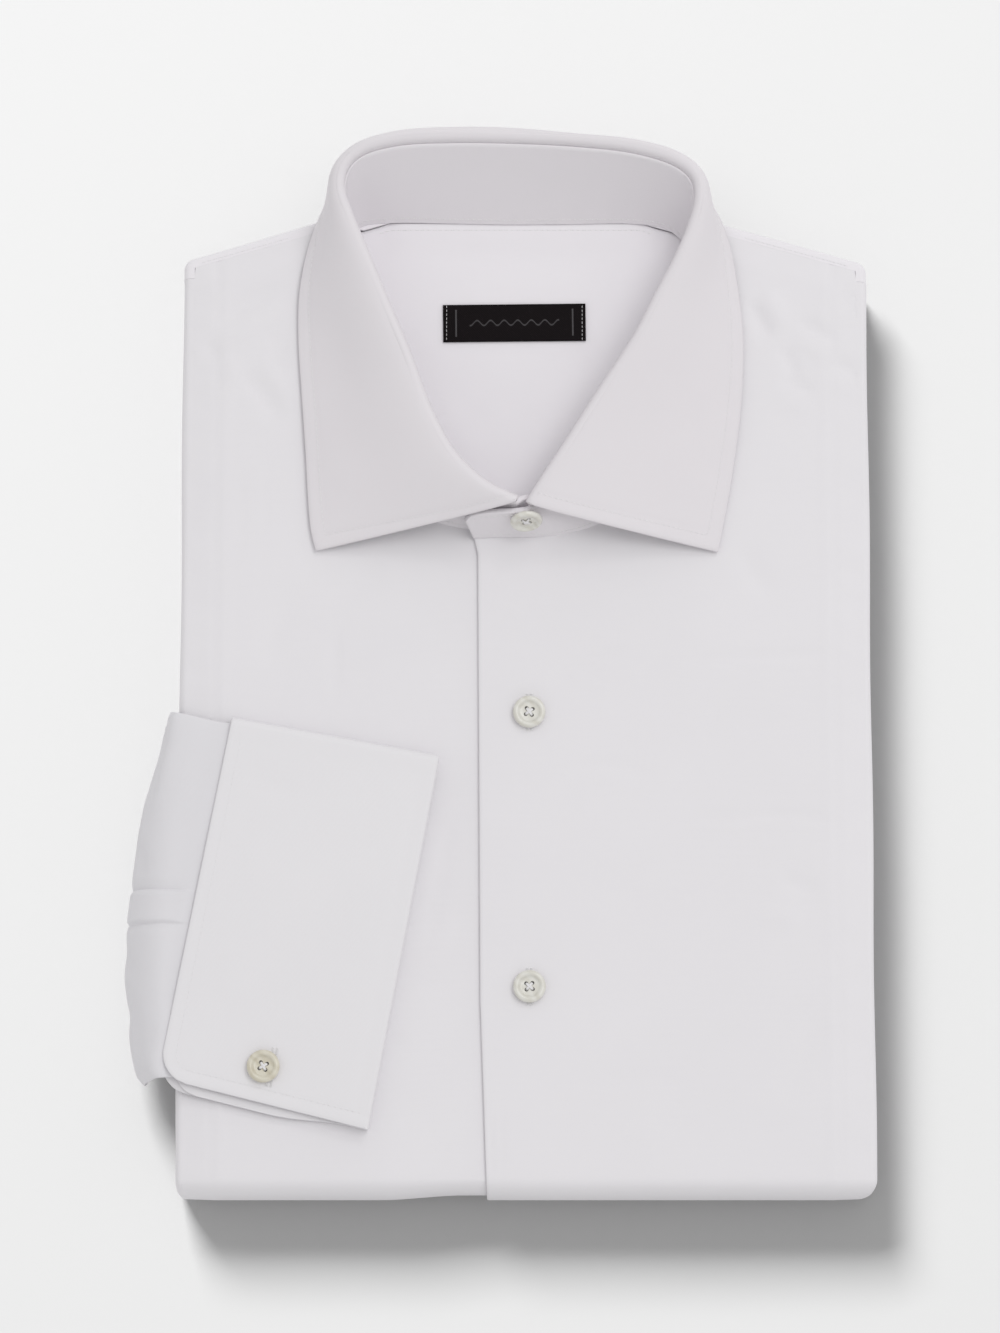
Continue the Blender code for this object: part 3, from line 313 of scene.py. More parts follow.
def new_piece(name: str, points: Array, faces: Iterable, finish: "Finish", lay: Array | None = None,
              sharp: float = 60.0) -> Object:
    """Make a mesh object from points in millimetres.

    Args:
        name: Name of the piece.
        points: One row of three for each point.
        faces: Point numbers of each face.
        finish: What the piece is made of.
        lay: Flat place of each point in millimetres, kept as the UV map in metres.
        sharp: Edges that turn by more degrees than this are shaded sharp.

    Returns:
        The object, linked to the scene.
    """
    mesh = bpy.data.meshes.new(name)
    mesh.from_pydata((np.asarray(points, float) * MM).tolist(), [], [list(face) for face in faces])
    mesh.update()
    if lay is not None:
        corners = np.empty(len(mesh.loops), dtype=np.int32)
        mesh.loops.foreach_get("vertex_index", corners)
        uv = (np.asarray(lay, float)[corners] * MM).ravel()
        mesh.uv_layers.new(name="flat_lay").data.foreach_set("uv", uv)
    dress_mesh(mesh, finish, sharp)
    return placed(name, mesh)


def cloth_piece(name: str, grid: ClothGrid, thickness: float, finish: "Finish", sunk: bool = True,
                rims: Sequence[float] = (0.45, 0.45, 0.45, 0.45)) -> Object:
    """Make a wall of cloth from a grid, with soft rims.

    Args:
        name: Name of the piece.
        grid: The sheet.
        thickness: Of the wall.
        finish: What it is made of.
        sunk: The grid is the outer face of the wall, not its middle.
        rims: How far in the rounding begins at the first and last row and the first and last column.

    Returns:
        The object.
    """
    rows, columns = grid.points.shape[:2]
    count, half = rows * columns, thickness / 2
    normal = grid.normals()
    middle = grid.points - normal * (half if sunk else 0.0)
    inward = np.zeros_like(middle)
    for edge, beside, rim in zip((np.s_[0], np.s_[-1], np.s_[:, 0], np.s_[:, -1]),
                                 (np.s_[1], np.s_[-2], np.s_[:, 1], np.s_[:, -2]), rims):
        step = middle[beside] - middle[edge]
        length = np.maximum(np.linalg.norm(step, axis=1), 1e-6)[:, None]
        inward[edge] += step / length * np.minimum(rim, 0.4 * length)
    border = [*range(columns), *(r * columns + columns - 1 for r in range(1, rows)),
              *((rows - 1) * columns + c for c in range(columns - 2, -1, -1)),
              *(r * columns for r in range(rows - 2, 0, -1))]
    middle, normal, inward = (part.reshape(-1, 3) for part in (middle, normal, inward))
    points = [middle + inward + normal * half, middle + inward - normal * half]
    for angle in (45.0, 90.0, 135.0):
        cosine, sine = cos_sin(angle)
        points.append((middle + inward * (1.0 - sine) + normal * half * cosine)[border])
    faces = grid.faces()
    faces += [tuple(corner + count for corner in face[::-1]) for face in faces]
    around = len(border)
    levels = [border, *([2 * count + k * around + i for i in range(around)] for k in range(3)),
              [corner + count for corner in border]]
    for upper, lower in zip(levels, levels[1:]):
        for i in range(around):
            face = (upper[i], lower[i], lower[(i + 1) % around], upper[(i + 1) % around])
            faces.append(face[::-1] if grid.flip else face)
    lay = grid.flat_lay().reshape(-1, 2)
    return new_piece(name, np.concatenate(points), faces, finish, np.concatenate([lay, lay, *([lay[border]] * 3)]))


def strip_cap(ring: Array, bend: int, tail: int = 0) -> list[tuple[int, ...]]:
    """Close a flattened ring of points across its narrow way, nearest pairs first.

    Args:
        ring: The points.
        bend: Number of the point at which the ring turns back.
        tail: How many points at its end make one face with the first point.

    Returns:
        The faces.
    """
    i, j = 0, len(ring) - 1 - tail
    faces = [(0, *range(j, len(ring)))] if tail else []
    while i < bend or j > bend + 1:
        ahead = np.linalg.norm(ring[i + 1] - ring[j]) if i < bend else inf
        beside = np.linalg.norm(ring[i] - ring[j - 1]) if j > bend + 1 else inf
        faces.append((i, i + 1, j) if ahead <= beside else (i, j - 1, j))
        i, j = (i + 1, j) if ahead <= beside else (i, j - 1)
    return faces


def loft_piece(name: str, rings: Sequence, finish: "Finish", lay: Sequence | None = None, sharp: float = 50.0,
               cap: Sequence | None = None, flip: bool = False) -> Object:
    """Make a closed piece from rings of as many points each.

    Args:
        name: Name of the piece.
        rings: The rings, in order.
        finish: What it is made of.
        lay: Flat place of each point.
        sharp: Edges that turn by more degrees than this are shaded sharp.
        cap: Faces that close a ring, as point numbers in it; one face if left out.
        flip: Turns the outer side round.

    Returns:
        The object.
    """
    count, around = len(rings), len(rings[0])
    cap = cap or [tuple(range(around))]
    faces = []
    for first in range(0, (count - 1) * around, around):
        for c, after in zip(range(around), (*range(1, around), 0)):
            faces.append((first + c, first + after, first + around + after, first + around + c))
    faces += [face[::-1] for face in cap] + [tuple((count - 1) * around + c for c in face) for face in cap]
    if flip:
        faces = [face[::-1] for face in faces]
    return new_piece(name, np.array(rings).reshape(-1, 3), faces, finish,
                     None if lay is None else np.array(lay).reshape(-1, 2), sharp)


# ---- finishes
class Finish:
    """Base of every finish: makes its material once and keeps it."""

    made: dict[str, Material] = {}
    name: str

    def material(self) -> Material:
        """Make this finish's material on first use.

        Returns:
            The material, the same one each time.
        """
        if self.name not in Finish.made:
            Finish.made[self.name] = bpy.data.materials.new(self.name)
            self.dress(NodeBoard(Finish.made[self.name]))
        return Finish.made[self.name]

    def dress(self, board: "NodeBoard") -> None:
        """Build the nodes of the material."""
        raise NotImplementedError


class NodeBoard:
    """Adds and links the shader nodes of one material."""

    def __init__(self, material: Material) -> None:
        """Clear the material and give it a Principled shader.

        Args:
            material: The one to fill.
        """
        material.use_nodes = True
        self.tree = material.node_tree
        self.tree.nodes.clear()
        self.shader = self.add("ShaderNodeBsdfPrincipled")
        place = self.add("ShaderNodeTexCoord")
        self.flat, self.solid = place.outputs["UV"], place.outputs["Object"]
        self.tree.links.new(self.shader.outputs["BSDF"], self.add("ShaderNodeOutputMaterial").inputs["Surface"])

    def add(self, kind: str, vector: NodeSocket | None = None, **values: object) -> Node:
        """Add a node.

        Args:
            kind: Its type.
            vector: What its Vector input reads.
            **values: Properties by name, or inputs by name with spaces as underscores.

        Returns:
            The node.
        """
        node = self.tree.nodes.new(kind)
        for key, value in values.items():
            if hasattr(node, key):
                setattr(node, key, value)
            else:
                self.feed(node.inputs[key.replace("_", " ")], value)
        if vector is not None:
            self.tree.links.new(vector, node.inputs["Vector"])
        return node

    def feed(self, socket: NodeSocket, value: object) -> None:
        """Join a socket to another one, or set its value; a colour of three gets its alpha.

        Args:
            socket: An input.
            value: A socket, a number or a colour.
        """
        if isinstance(value, NodeSocket):
            self.tree.links.new(value, socket)
        else:
            socket.default_value = (*value, 1.0) if socket.type == "RGBA" else value

    def wave(self, direction: str, scale: float, vector: NodeSocket, **values: object) -> NodeSocket:
        """Return the strength of a band texture."""
        return self.add("ShaderNodeTexWave", vector, bands_direction=direction, Scale=scale, **values).outputs["Fac"]

    def noise(self, scale: float, vector: NodeSocket, **values: object) -> NodeSocket:
        """Return the strength of a noise texture."""
        return self.add("ShaderNodeTexNoise", vector, Scale=scale, **values).outputs["Fac"]

    def reckon(self, operation: str, *terms: object) -> NodeSocket:
        """Add a Math node over numbers or sockets.

        Args:
            operation: Its name in Blender.
            *terms: What it works on.

        Returns:
            Its output.
        """
        node = self.add("ShaderNodeMath", operation=operation)
        for socket, term in zip(node.inputs, terms):
            self.feed(socket, term)
        return node.outputs[0]

    def blend(self, share: object, first: object, second: object) -> NodeSocket:
        """Mix two colours, each a colour or a socket.

        Args:
            share: Share of the second.
            first: One colour.
            second: The other.

        Returns:
            The mixed colour.
        """
        node = self.add("ShaderNodeMix", data_type="RGBA")
        for socket, term in zip((node.inputs["Factor"], node.inputs[6], node.inputs[7]), (share, first, second)):
            self.feed(socket, term)
        return node.outputs[2]

    def cover(self, relief: tuple[NodeSocket, float, float] | None = None, **values: object) -> None:
        """Set the shader's inputs and its relief.

        Args:
            relief: Height socket, distance in metres and strength.
            **values: Inputs by name with spaces as underscores.
        """
        for key, value in values.items():
            self.feed(self.shader.inputs[key.replace("_", " ")], value)
        if relief is not None:
            bump = self.add("ShaderNodeBump", Height=relief[0], Distance=relief[1], Strength=relief[2])
            self.tree.links.new(bump.outputs["Normal"], self.shader.inputs["Normal"])


@dataclass(frozen=True)
class Poplin(Finish):
    """Woven cotton: fine threads both ways, slight slubs and a soft uneven tone."""

    name: str
    colour: Triple
    shade: float = 0.05
    thread_pitch: float = 0.34
    relief: float = 0.045

    def dress(self, board: NodeBoard) -> None:
        """Build the woven material.

        Args:
            board: Where its nodes go.
        """
        scale = pi / 10.0 / (self.thread_pitch * MM)
        warp = board.wave("X", scale, board.flat, Distortion=0.35, Detail_Scale=1.0)
        weft = board.wave("Y", scale * 0.86, board.flat, Distortion=0.35, Detail_Scale=1.0)
        stretch = board.add("ShaderNodeMapping", board.flat, Scale=(0.12, 1.0, 1.0))
        slubs = board.noise(900.0, stretch.outputs["Vector"], Detail=2.0)
        threads = board.reckon("MULTIPLY_ADD", slubs, 0.35, board.reckon("MAXIMUM", warp, weft))
        patches = board.noise(22.0, board.solid, Detail=3.0, Roughness=0.55)
        uneven = board.reckon("MULTIPLY_ADD", patches, 0.75, board.reckon("MULTIPLY", threads, 0.25))
        dark = tuple(channel * (1.0 - self.shade) for channel in self.colour)
        board.cover((threads, self.relief * MM, 0.55), Base_Color=board.blend(uneven, dark, self.colour),
                    Roughness=0.82, Sheen_Weight=0.12, Sheen_Roughness=0.45, Specular_IOR_Level=0.25)


@dataclass(frozen=True)
class SewingThread(Finish):
    """Twisted cotton thread, a little brighter than the cloth."""

    name: str = "white_thread"
    colour: Triple = (0.87, 0.86, 0.87)
    twist: float = 0.45

    def dress(self, board: NodeBoard) -> None:
        """Build the thread: diagonal twist and a soft gloss.

        Args:
            board: Where its nodes go.
        """
        ply = board.wave("DIAGONAL", pi / 10.0 / (self.twist * MM), board.solid)
        dark = tuple(channel * 0.86 for channel in self.colour)
        board.cover((ply, 0.00004, 0.5), Base_Color=board.blend(ply, dark, self.colour), Roughness=0.6,
                    Sheen_Weight=0.1)


@dataclass(frozen=True)
class Pearl(Finish):
    """Pale shell-like resin with faint bands and a clear gloss."""

    name: str
    colour: Triple
    deep: Triple
    roughness: float = 0.28

    def dress(self, board: NodeBoard) -> None:
        """Build the banded resin.

        Args:
            board: Where its nodes go.
        """
        bands = board.wave("DIAGONAL", 120.0, board.solid, Distortion=6.0, Detail=3.0)
        cloud = board.noise(420.0, board.solid, Detail=4.0)
        gloss = board.reckon("MULTIPLY_ADD", cloud, 0.12, self.roughness - 0.06)
        colour = board.blend(board.reckon("MULTIPLY", bands, cloud), self.colour, self.deep)
        board.cover((cloud, 0.00003, 0.3), Base_Color=colour, Roughness=gloss, Coat_Weight=0.25, Coat_Roughness=0.15)


@dataclass(frozen=True)
class LabelSatin(Finish):
    """Black woven satin with a plain ornament of grey thread: a bar at each end and a wave line."""

    name: str = "black_label_satin"
    length: float = 50.5
    bar_inset: float = 4.6
    wave_height: float = 0.9
    wave_length: float = 4.8

    def dress(self, board: NodeBoard) -> None:
        """Build the satin: fine twill, two bars and a wave line of dull grey thread.

        Args:
            board: Where its nodes go.
        """
        apart = board.add("ShaderNodeSeparateXYZ", board.flat)
        x, y = (board.reckon("MULTIPLY", apart.outputs[axis], 1.0 / MM) for axis in "XY")
        from_middle = board.reckon("ABSOLUTE", x)
        swing = board.reckon("MULTIPLY", board.reckon("SINE", board.reckon(
            "MULTIPLY", x, 2 * pi / self.wave_length)), self.wave_height)
        lines = []
        for off, half_width, along, reach, strength in (
                (board.reckon("SUBTRACT", from_middle, self.length / 2 - self.bar_inset), 0.28,
                 board.reckon("ABSOLUTE", y), 4.9, 0.55),
                (board.reckon("SUBTRACT", y, swing), 0.3, from_middle, self.length / 2 - 9.4, 0.42)):
            on_line = board.reckon("LESS_THAN", board.reckon("ABSOLUTE", off), half_width)
            both = board.reckon("MULTIPLY", on_line, board.reckon("LESS_THAN", along, reach))
            lines.append(board.reckon("MULTIPLY", both, strength))
        twill = board.wave("DIAGONAL", pi / 10.0 / (0.42 * MM), board.flat)
        ground = board.blend(twill, (0.003, 0.002, 0.0025), (0.009, 0.006, 0.007))
        marked = board.blend(board.reckon("MAXIMUM", *lines), ground, (0.13, 0.125, 0.13))
        board.cover((twill, 0.00006, 0.6), Base_Color=marked, Roughness=0.55, Specular_IOR_Level=0.07)


@dataclass(frozen=True)
class StudioPaper(Finish):
    """Pale seamless paper for the floor."""

    name: str = "pale_paper"
    colour: Triple = (0.485, 0.485, 0.485)

    def dress(self, board: NodeBoard) -> None:
        """Build the paper: almost plain, with a faint grain.

        Args:
            board: Where its nodes go.
        """
        dark = tuple(channel * 0.995 for channel in self.colour)
        grain = board.blend(board.noise(260.0, board.solid, Detail=3.0), dark, self.colour)
        board.cover(Base_Color=grain, Roughness=0.95, Specular_IOR_Level=0.1)


BODY_COTTON = Poplin("body_poplin", (0.83, 0.812, 0.836))
# painted light: the yoke is the same cotton as the body, its colour set lighter than the body's
YOKE_COTTON_PAINTED_LIGHT = Poplin("yoke_poplin_painted_light", (0.875, 0.85, 0.88))
# painted shade: the collar leaf is the same cotton as the body, its colour set darker than the body's
COLLAR_COTTON_PAINTED_SHADE = Poplin("collar_poplin_painted_shade", (0.795, 0.764, 0.79), shade=0.04)
STAND_COTTON = Poplin("stand_poplin", (0.83, 0.80, 0.828), shade=0.04)
CUFF_COTTON = Poplin("cuff_poplin", (0.825, 0.81, 0.83), shade=0.04)
# painted shade: the sleeve is the same cotton as the body, its colour set darker than the body's
SLEEVE_COTTON_PAINTED_SHADE = Poplin("sleeve_poplin_painted_shade", (0.785, 0.772, 0.798))
THREAD = SewingThread()
BUTTON_PEARL = Pearl("button_pearl", (0.76, 0.75, 0.70), (0.62, 0.595, 0.52))
CUFF_PEARL = Pearl("cuff_button_pearl", (0.70, 0.665, 0.56), (0.52, 0.47, 0.35))


# ---- sewing
class StitchLay(Enum):
    """How each stitch lies on its path."""

    ALONG = "along"
    ACROSS = "across"


@dataclass(frozen=True)
class StitchLine:
    """A row of stitches made by Geometry Nodes on a drawn path: along it, or across for a buttonhole."""

    name: str
    pitch: float = 2.1
    length: float = 1.75
    width: float = 0.26
    lay: StitchLay = StitchLay.ALONG

    def node_group(self) -> NodeTree:
        """Build the tree: resample the path and set one thread loop on each point.

        Returns:
            The node group, with its sizes as named inputs.
        """
        group = bpy.data.node_groups.new(f"{self.name}_rule", "GeometryNodeTree")
        for label, kind in (("Geometry", "Geometry"), ("Pitch", "Float"), ("Stitch Length", "Float"),
                            ("Thread Width", "Float"), ("Thread", "Material")):
            group.interface.new_socket(label, in_out="INPUT", socket_type=f"NodeSocket{kind}")
        group.interface.new_socket("Geometry", in_out="OUTPUT", socket_type="NodeSocketGeometry")
        given, result, curve, resample, loop, size, align, tangent, place, smooth, real, dress = (
            group.nodes.new(kind) for kind in (
                "NodeGroupInput", "NodeGroupOutput", "GeometryNodeMeshToCurve", "GeometryNodeResampleCurve",
                "GeometryNodeMeshUVSphere", "ShaderNodeCombineXYZ", "FunctionNodeAlignRotationToVector",
                "GeometryNodeInputTangent", "GeometryNodeInstanceOnPoints", "GeometryNodeSetShadeSmooth",
                "GeometryNodeRealizeInstances", "GeometryNodeSetMaterial"))
        resample.mode, align.axis = "LENGTH", "Z"
        for label, value in (("Segments", 6), ("Rings", 4), ("Radius", 0.5)):
            loop.inputs[label].default_value = value
        heading = tangent.outputs["Tangent"]
        if self.lay is StitchLay.ACROSS:
            turn = group.nodes.new("ShaderNodeVectorMath")
            turn.operation = "CROSS_PRODUCT"
            turn.inputs[1].default_value = (0.0, 0.0, 1.0)
            group.links.new(heading, turn.inputs[0])
            heading = turn.outputs["Vector"]
        flow = given.outputs["Geometry"]
        for node in (curve, resample, place, smooth, real, dress):
            group.links.new(flow, node.inputs[0])
            flow = node.outputs[0]
        group.links.new(flow, result.inputs[0])
        for source, node, socket in (
                (given.outputs["Pitch"], resample, "Length"), (loop.outputs["Mesh"], place, "Instance"),
                (given.outputs["Thread Width"], size, "X"), (given.outputs["Thread Width"], size, "Y"),
                (given.outputs["Stitch Length"], size, "Z"), (size.outputs["Vector"], place, "Scale"),
                (heading, align, "Vector"), (align.outputs["Rotation"], place, "Rotation"),
                (given.outputs["Thread"], dress, "Material")):
            group.links.new(source, node.inputs[socket])
        return group

    def sew(self, paths: Sequence[Array]) -> None:
        """Make the stitches as a plain mesh, one finished piece.

        Args:
            paths: Lines of points in millimetres, on the cloth's surface.
        """
        edges, first = [], 0
        for path in paths:
            edges += [(first + i, first + i + 1) for i in range(len(path) - 1)]
            first += len(path)
        mesh = bpy.data.meshes.new(self.name)
        mesh.from_pydata((np.concatenate(paths) * MM).tolist(), edges, [])
        piece = placed(self.name, mesh)
        modifier = piece.modifiers.new("stitches", "NODES")
        modifier.node_group = self.node_group()
        values = {"Pitch": self.pitch * MM, "Stitch Length": self.length * MM,
                  "Thread Width": self.width * MM, "Thread": THREAD.material()}
        for item in modifier.node_group.interface.items_tree:
            if item.in_out == "INPUT" and item.name in values:
                modifier[item.identifier] = values[item.name]
        made = made_plain(piece)
        piece.modifiers.clear()
        piece.data = made
        finish_piece(piece)


def finish_piece(piece: Object, *nodes: str) -> Object:
    """Put a piece on the one body.

    Args:
        piece: The finished object.
        *nodes: CAD nodes that it replaces.

    Returns:
        The same object.
    """
    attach(piece, BODY)
    if nodes:
        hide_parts(*nodes)
    LOG.info("%s: %d faces, for %s", piece.name, len(piece.data.polygons), nodes or "no node")
    return piece


# ---- form of the folded shirt
# sections of the collar: foot (x, y), crest (x, y, z), rim of the leaf (x, y, z), width of its roll
COLLAR_ROWS = (
    (2, 48.1, 6, 54, 45.7, -64.6, 38.8, 27.5, 1.2),
    (-13, 48.4, -5, 59.6, 45.8, -66.4, 46, 27.4, 4),
    (-26, 52.2, -15.4, 69.2, 46, -67.4, 56, 27.4, 7),
    (-41.5, 66.5, -24.4, 85.2, 46.5, -68.4, 74, 27.4, 9),
    (-51, 86, -32.2, 106, 47, -70, 96, 27.4, 9),
    (-55, 104, -40, 124.6, 47.5, -71.2, 115, 27.4, 8.5),
    (-57, 124, -48, 144.2, 48, -70.6, 134, 27.6, 7),
    (-57, 137, -53, 156.5, 48.3, -67.2, 149.6, 27.8, 5.8),
    (-56, 147, -55.7, 165, 48.8, -62.8, 161.4, 27.2, 5),
    (-53.5, 153.5, -54.4, 172.4, 49.4, -58.6, 171.4, 18, 4.6),
    (-48, 157.5, -48.5, 178, 50, -50.2, 180.2, 11, 4.6),
    (-36, 158.4, -36, 181.4, 50.4, -37.2, 184.6, 9, 5),
    (-19, 158.2, -18.5, 182.4, 50.5, -19.3, 186.4, 8, 5.6),
    (3, 157.8, 3.5, 182.2, 50.5, 3.5, 186.7, 7.6, 5.8),
    (27, 158, 27.5, 181, 50.5, 28.1, 183, 8, 4.2),
    (46, 158.2, 48, 178.6, 50.2, 49.8, 180.3, 9.4, 4.2),
    (58, 156.6, 62, 174.2, 49.7, 64.2, 176.6, 12, 4),
    (64.8, 152.2, 68.4, 168.6, 49.2, 71.8, 169.2, 19, 4),
    (68, 144.8, 69.4, 160.8, 48.7, 77, 160.2, 27.4, 4.6),
    (69.2, 135, 67, 151.4, 48.3, 81, 149.4, 27.8, 5.4),
    (69.3, 122, 62, 139.6, 48, 83.8, 135, 27.6, 5.8),
    (67.5, 104, 55.6, 127.4, 47.5, 85.8, 118, 27.4, 6),
    (63.5, 86, 47.5, 111.6, 47, 85.6, 100, 27.4, 6),
    (55, 68, 35.2, 92.6, 46.5, 84, 82, 27.4, 6),
    (43.5, 55, 22.6, 72.6, 46, 81.2, 63, 27.4, 5.5),
    (32.5, 48.6, 15, 61, 45.7, 78.6, 49, 27.4, 4.5),
    (21, 45.8, 9.8, 52.4, 45.5, 76.5, 38.4, 27.5, 3),
)
# ends of the stand: foot (x, y) and upper edge (x, y, z)
STAND_UNDERLAP = ((10.4, 48.8, 10.2, 56, 40.2), (6.4, 48.3, 7.6, 55, 41.6))
STAND_OVERLAP = ((12, 45, 4.8, 50.6, 41.8), (5, 44.9, -0.4, 50.6, 41), (-3, 44.8, -6, 50.4, 40.4),
                 (-7.8, 44.6, -10.6, 49.6, 38.8), (-9.6, 44.5, -12.4, 48.2, 36.4))


class Side(Enum):
    """The two fronts, by the side of the wearer that they cover."""

    RIGHT_FRONT = "wearer's right, at -X"
    LEFT_FRONT = "wearer's left, at +X"


@dataclass(frozen=True)
class FoldedBody:
    """Sizes of the pressed bundle and the lines that its panels share."""

    cloth: float = 1.2
    left_x: float = -112.3
    right_x: float = 130.2
    fold_y: float = -187.4
    top_z: float = 26.0
    turn_reach: float = 6.5
    tail_y: float = 138.0
    left_shoulder_y: float = 145.0
    right_shoulder_y: float = 143.8
    left_slope: float = 0.294
    right_slope: float = 0.282
    neck_edge_y: float = 166.5
    neck_x: float = 6.2
    shoulder_corner: float = 4.5
    neck_bend: float = 16.0
    corner_length: float = 7.0
    edge_reach: float = 3.2
    edge_squareness: float = 0.8
    strip_width: float = 12.5
    strip_fall: float = 1.4
    upper_end_z: float = 14.2
    lower_end_z: float = 10.4
    turn_in: float = 4.0
    yoke_turn_in: float = 8.0
    seam_inset: float = 4.0
    neck_seam_inset: float = 7.5
    lap_right_x: float = 27.0
    lap_start_x: float = -12.0
    lap_ease: float = 30.0
    front_edge: Plan = ((-187.4, -4.5), (-119.0, -6.9), (38.0, -7.8), (45.0, -9.4))

    @property
    def mid_z(self) -> float:
        """Half the height of the bundle."""
        return self.top_z / 2

    @property
    def turn_y(self) -> float:
        """Where the bottom fold's turn begins."""
        return self.fold_y + self.turn_reach

    @property
    def lap_depth(self) -> float:
        """How far the right front lies below the left one where they lap."""
        return self.cloth + GAP + 0.15

    @property
    def inner_z(self) -> float:
        """Level of the inner yoke's upper face."""
        return self.top_z - self.cloth - GAP

    def shoulder_line(self, x: Values) -> Values:
        """Draw the top edge of the bundle in plan.

        Args:
            x: Any plan x.

        Returns:
            Its y.
        """
        slopes = np.minimum(self.left_shoulder_y + self.left_slope * (x - self.left_x),
                            self.right_shoulder_y + self.right_slope * (self.right_x - x))
        return np.minimum(slopes, self.neck_edge_y)

    def neck_share(self, x: Values) -> Values:
        """Return 1 behind the neck and 0 over the shoulders."""
        return 1.0 - ease(66.0, 84.0, abs(x - self.neck_x))

    def strip_drop(self, inset: Values) -> Values:
        """Return how far the upper face has fallen at this distance from an edge."""
        return self.strip_fall * np.clip((self.strip_width - inset) / (self.strip_width - self.edge_reach), 0.0, 1.0)

    def edge_roll(self, angle: float, start_z: float, end_z: float) -> Pair:
        """Return inset and height of the cloth as it rolls round an edge.

        Args:
            angle: 0 on the upper face, 180 on the turned-in cloth.
            start_z: Height at 0.
            end_z: Height at 180.

        Returns:
            Inset from the edge's outermost line, and height.
        """
        cosine, sine = cos_sin(angle)
        inset = self.edge_reach * (1.0 - abs(sine) ** self.edge_squareness)
        half = (start_z - end_z) / 2
        return inset, (start_z + end_z) / 2 + half * copysign(abs(cosine) ** self.edge_squareness, cosine)

    def neckline_y(self, x: float, side: Side) -> float:
        """Find where a front is sewn to the foot of the stand.

        Args:
            x: A plan x.
            side: Which front.

        Returns:
            The y of the seam.
        """
        feet = np.array([row[:2] for row in COLLAR_ROWS])
        if side is Side.RIGHT_FRONT:
            line = [*feet[:np.argmin(feet[:, 0]) + 1], *(row[:2] for row in STAND_UNDERLAP)]
        else:
            line = [*feet[np.argmax(feet[:, 0]):], *(row[:2] for row in STAND_OVERLAP)]
        return float(np.interp(x, *np.array(sorted(line, key=lambda point: point[0])).T))

    def has_neckline(self, x: float, side: Side) -> bool:
        """Return True where a front ends at the stand, not at the shoulder seam."""
        feet = [row[0] for row in COLLAR_ROWS]
        return x > min(feet) - 0.2 if side is Side.RIGHT_FRONT else x < max(feet) + 0.2

    def front_edge_x(self, y: float) -> float:
        """Return the free edge of the overlapping left front."""
        return float(np.interp(y, *zip(*self.front_edge)))

    def lap(self, x: Values) -> Values:
        """Return how far the right front lies below the common level."""
        return self.lap_depth * ease(self.lap_start_x - self.lap_ease, self.lap_start_x, x)

    def shoulder(self, side: Side) -> Pair:
        """Look up one shoulder line's height on the side fold and its slope.

        Args:
            side: Which front.

        Returns:
            The height, and the slope as rise over run.
        """
        if side is Side.RIGHT_FRONT:
            return self.left_shoulder_y, self.left_slope
        return self.right_shoulder_y, self.right_slope


FORM = FoldedBody()


@dataclass(frozen=True)
class Pressing:
    """The creases that wear, folding and pressing left in the upper face.

    Calm holds places (x, y, radius, largest lift) where something lies on the cloth.
    """

    creases: tuple[Crease, ...]
    waves: SoftWaves
    calm: tuple[tuple[float, float, float, float], ...]
    cuff_corners: Plan

    def lift(self, x: Array, y: Array) -> Array:
        """Return the lift of the upper face, kept low under what lies on the cloth.

        Args:
            x: Any array of plan x.
            y: The same of plan y.

        Returns:
            The lift at each point.
        """
        free, under_cuff, fading = 3.0, 0.12, 7.0
        cap = np.full(x.shape, free)
        for place_x, place_y, radius, most in self.calm:
            near = ease(radius, radius + fading, np.hypot(x - place_x, y - place_y))
            cap = np.minimum(cap, mix(most, free, near))
        inside = np.full(x.shape, FAR)
        corners = np.array(self.cuff_corners)
        for corner, after in zip(corners, np.roll(corners, -1, axis=0)):
            heading = unit(after - corner)
            inside = np.minimum(inside, heading[1] * (x - corner[0]) - heading[0] * (y - corner[1]))
        cap = np.minimum(cap, mix(free, under_cuff, ease(-6.0, -1.0, inside)))
        return np.minimum(lift_of((self.waves, *self.creases), x, y), cap)

    def surface(self, x: Array, y: Array) -> Array:
        """Return the height of the left front's upper face at plan points."""
        return FORM.top_z + self.lift(x, y)


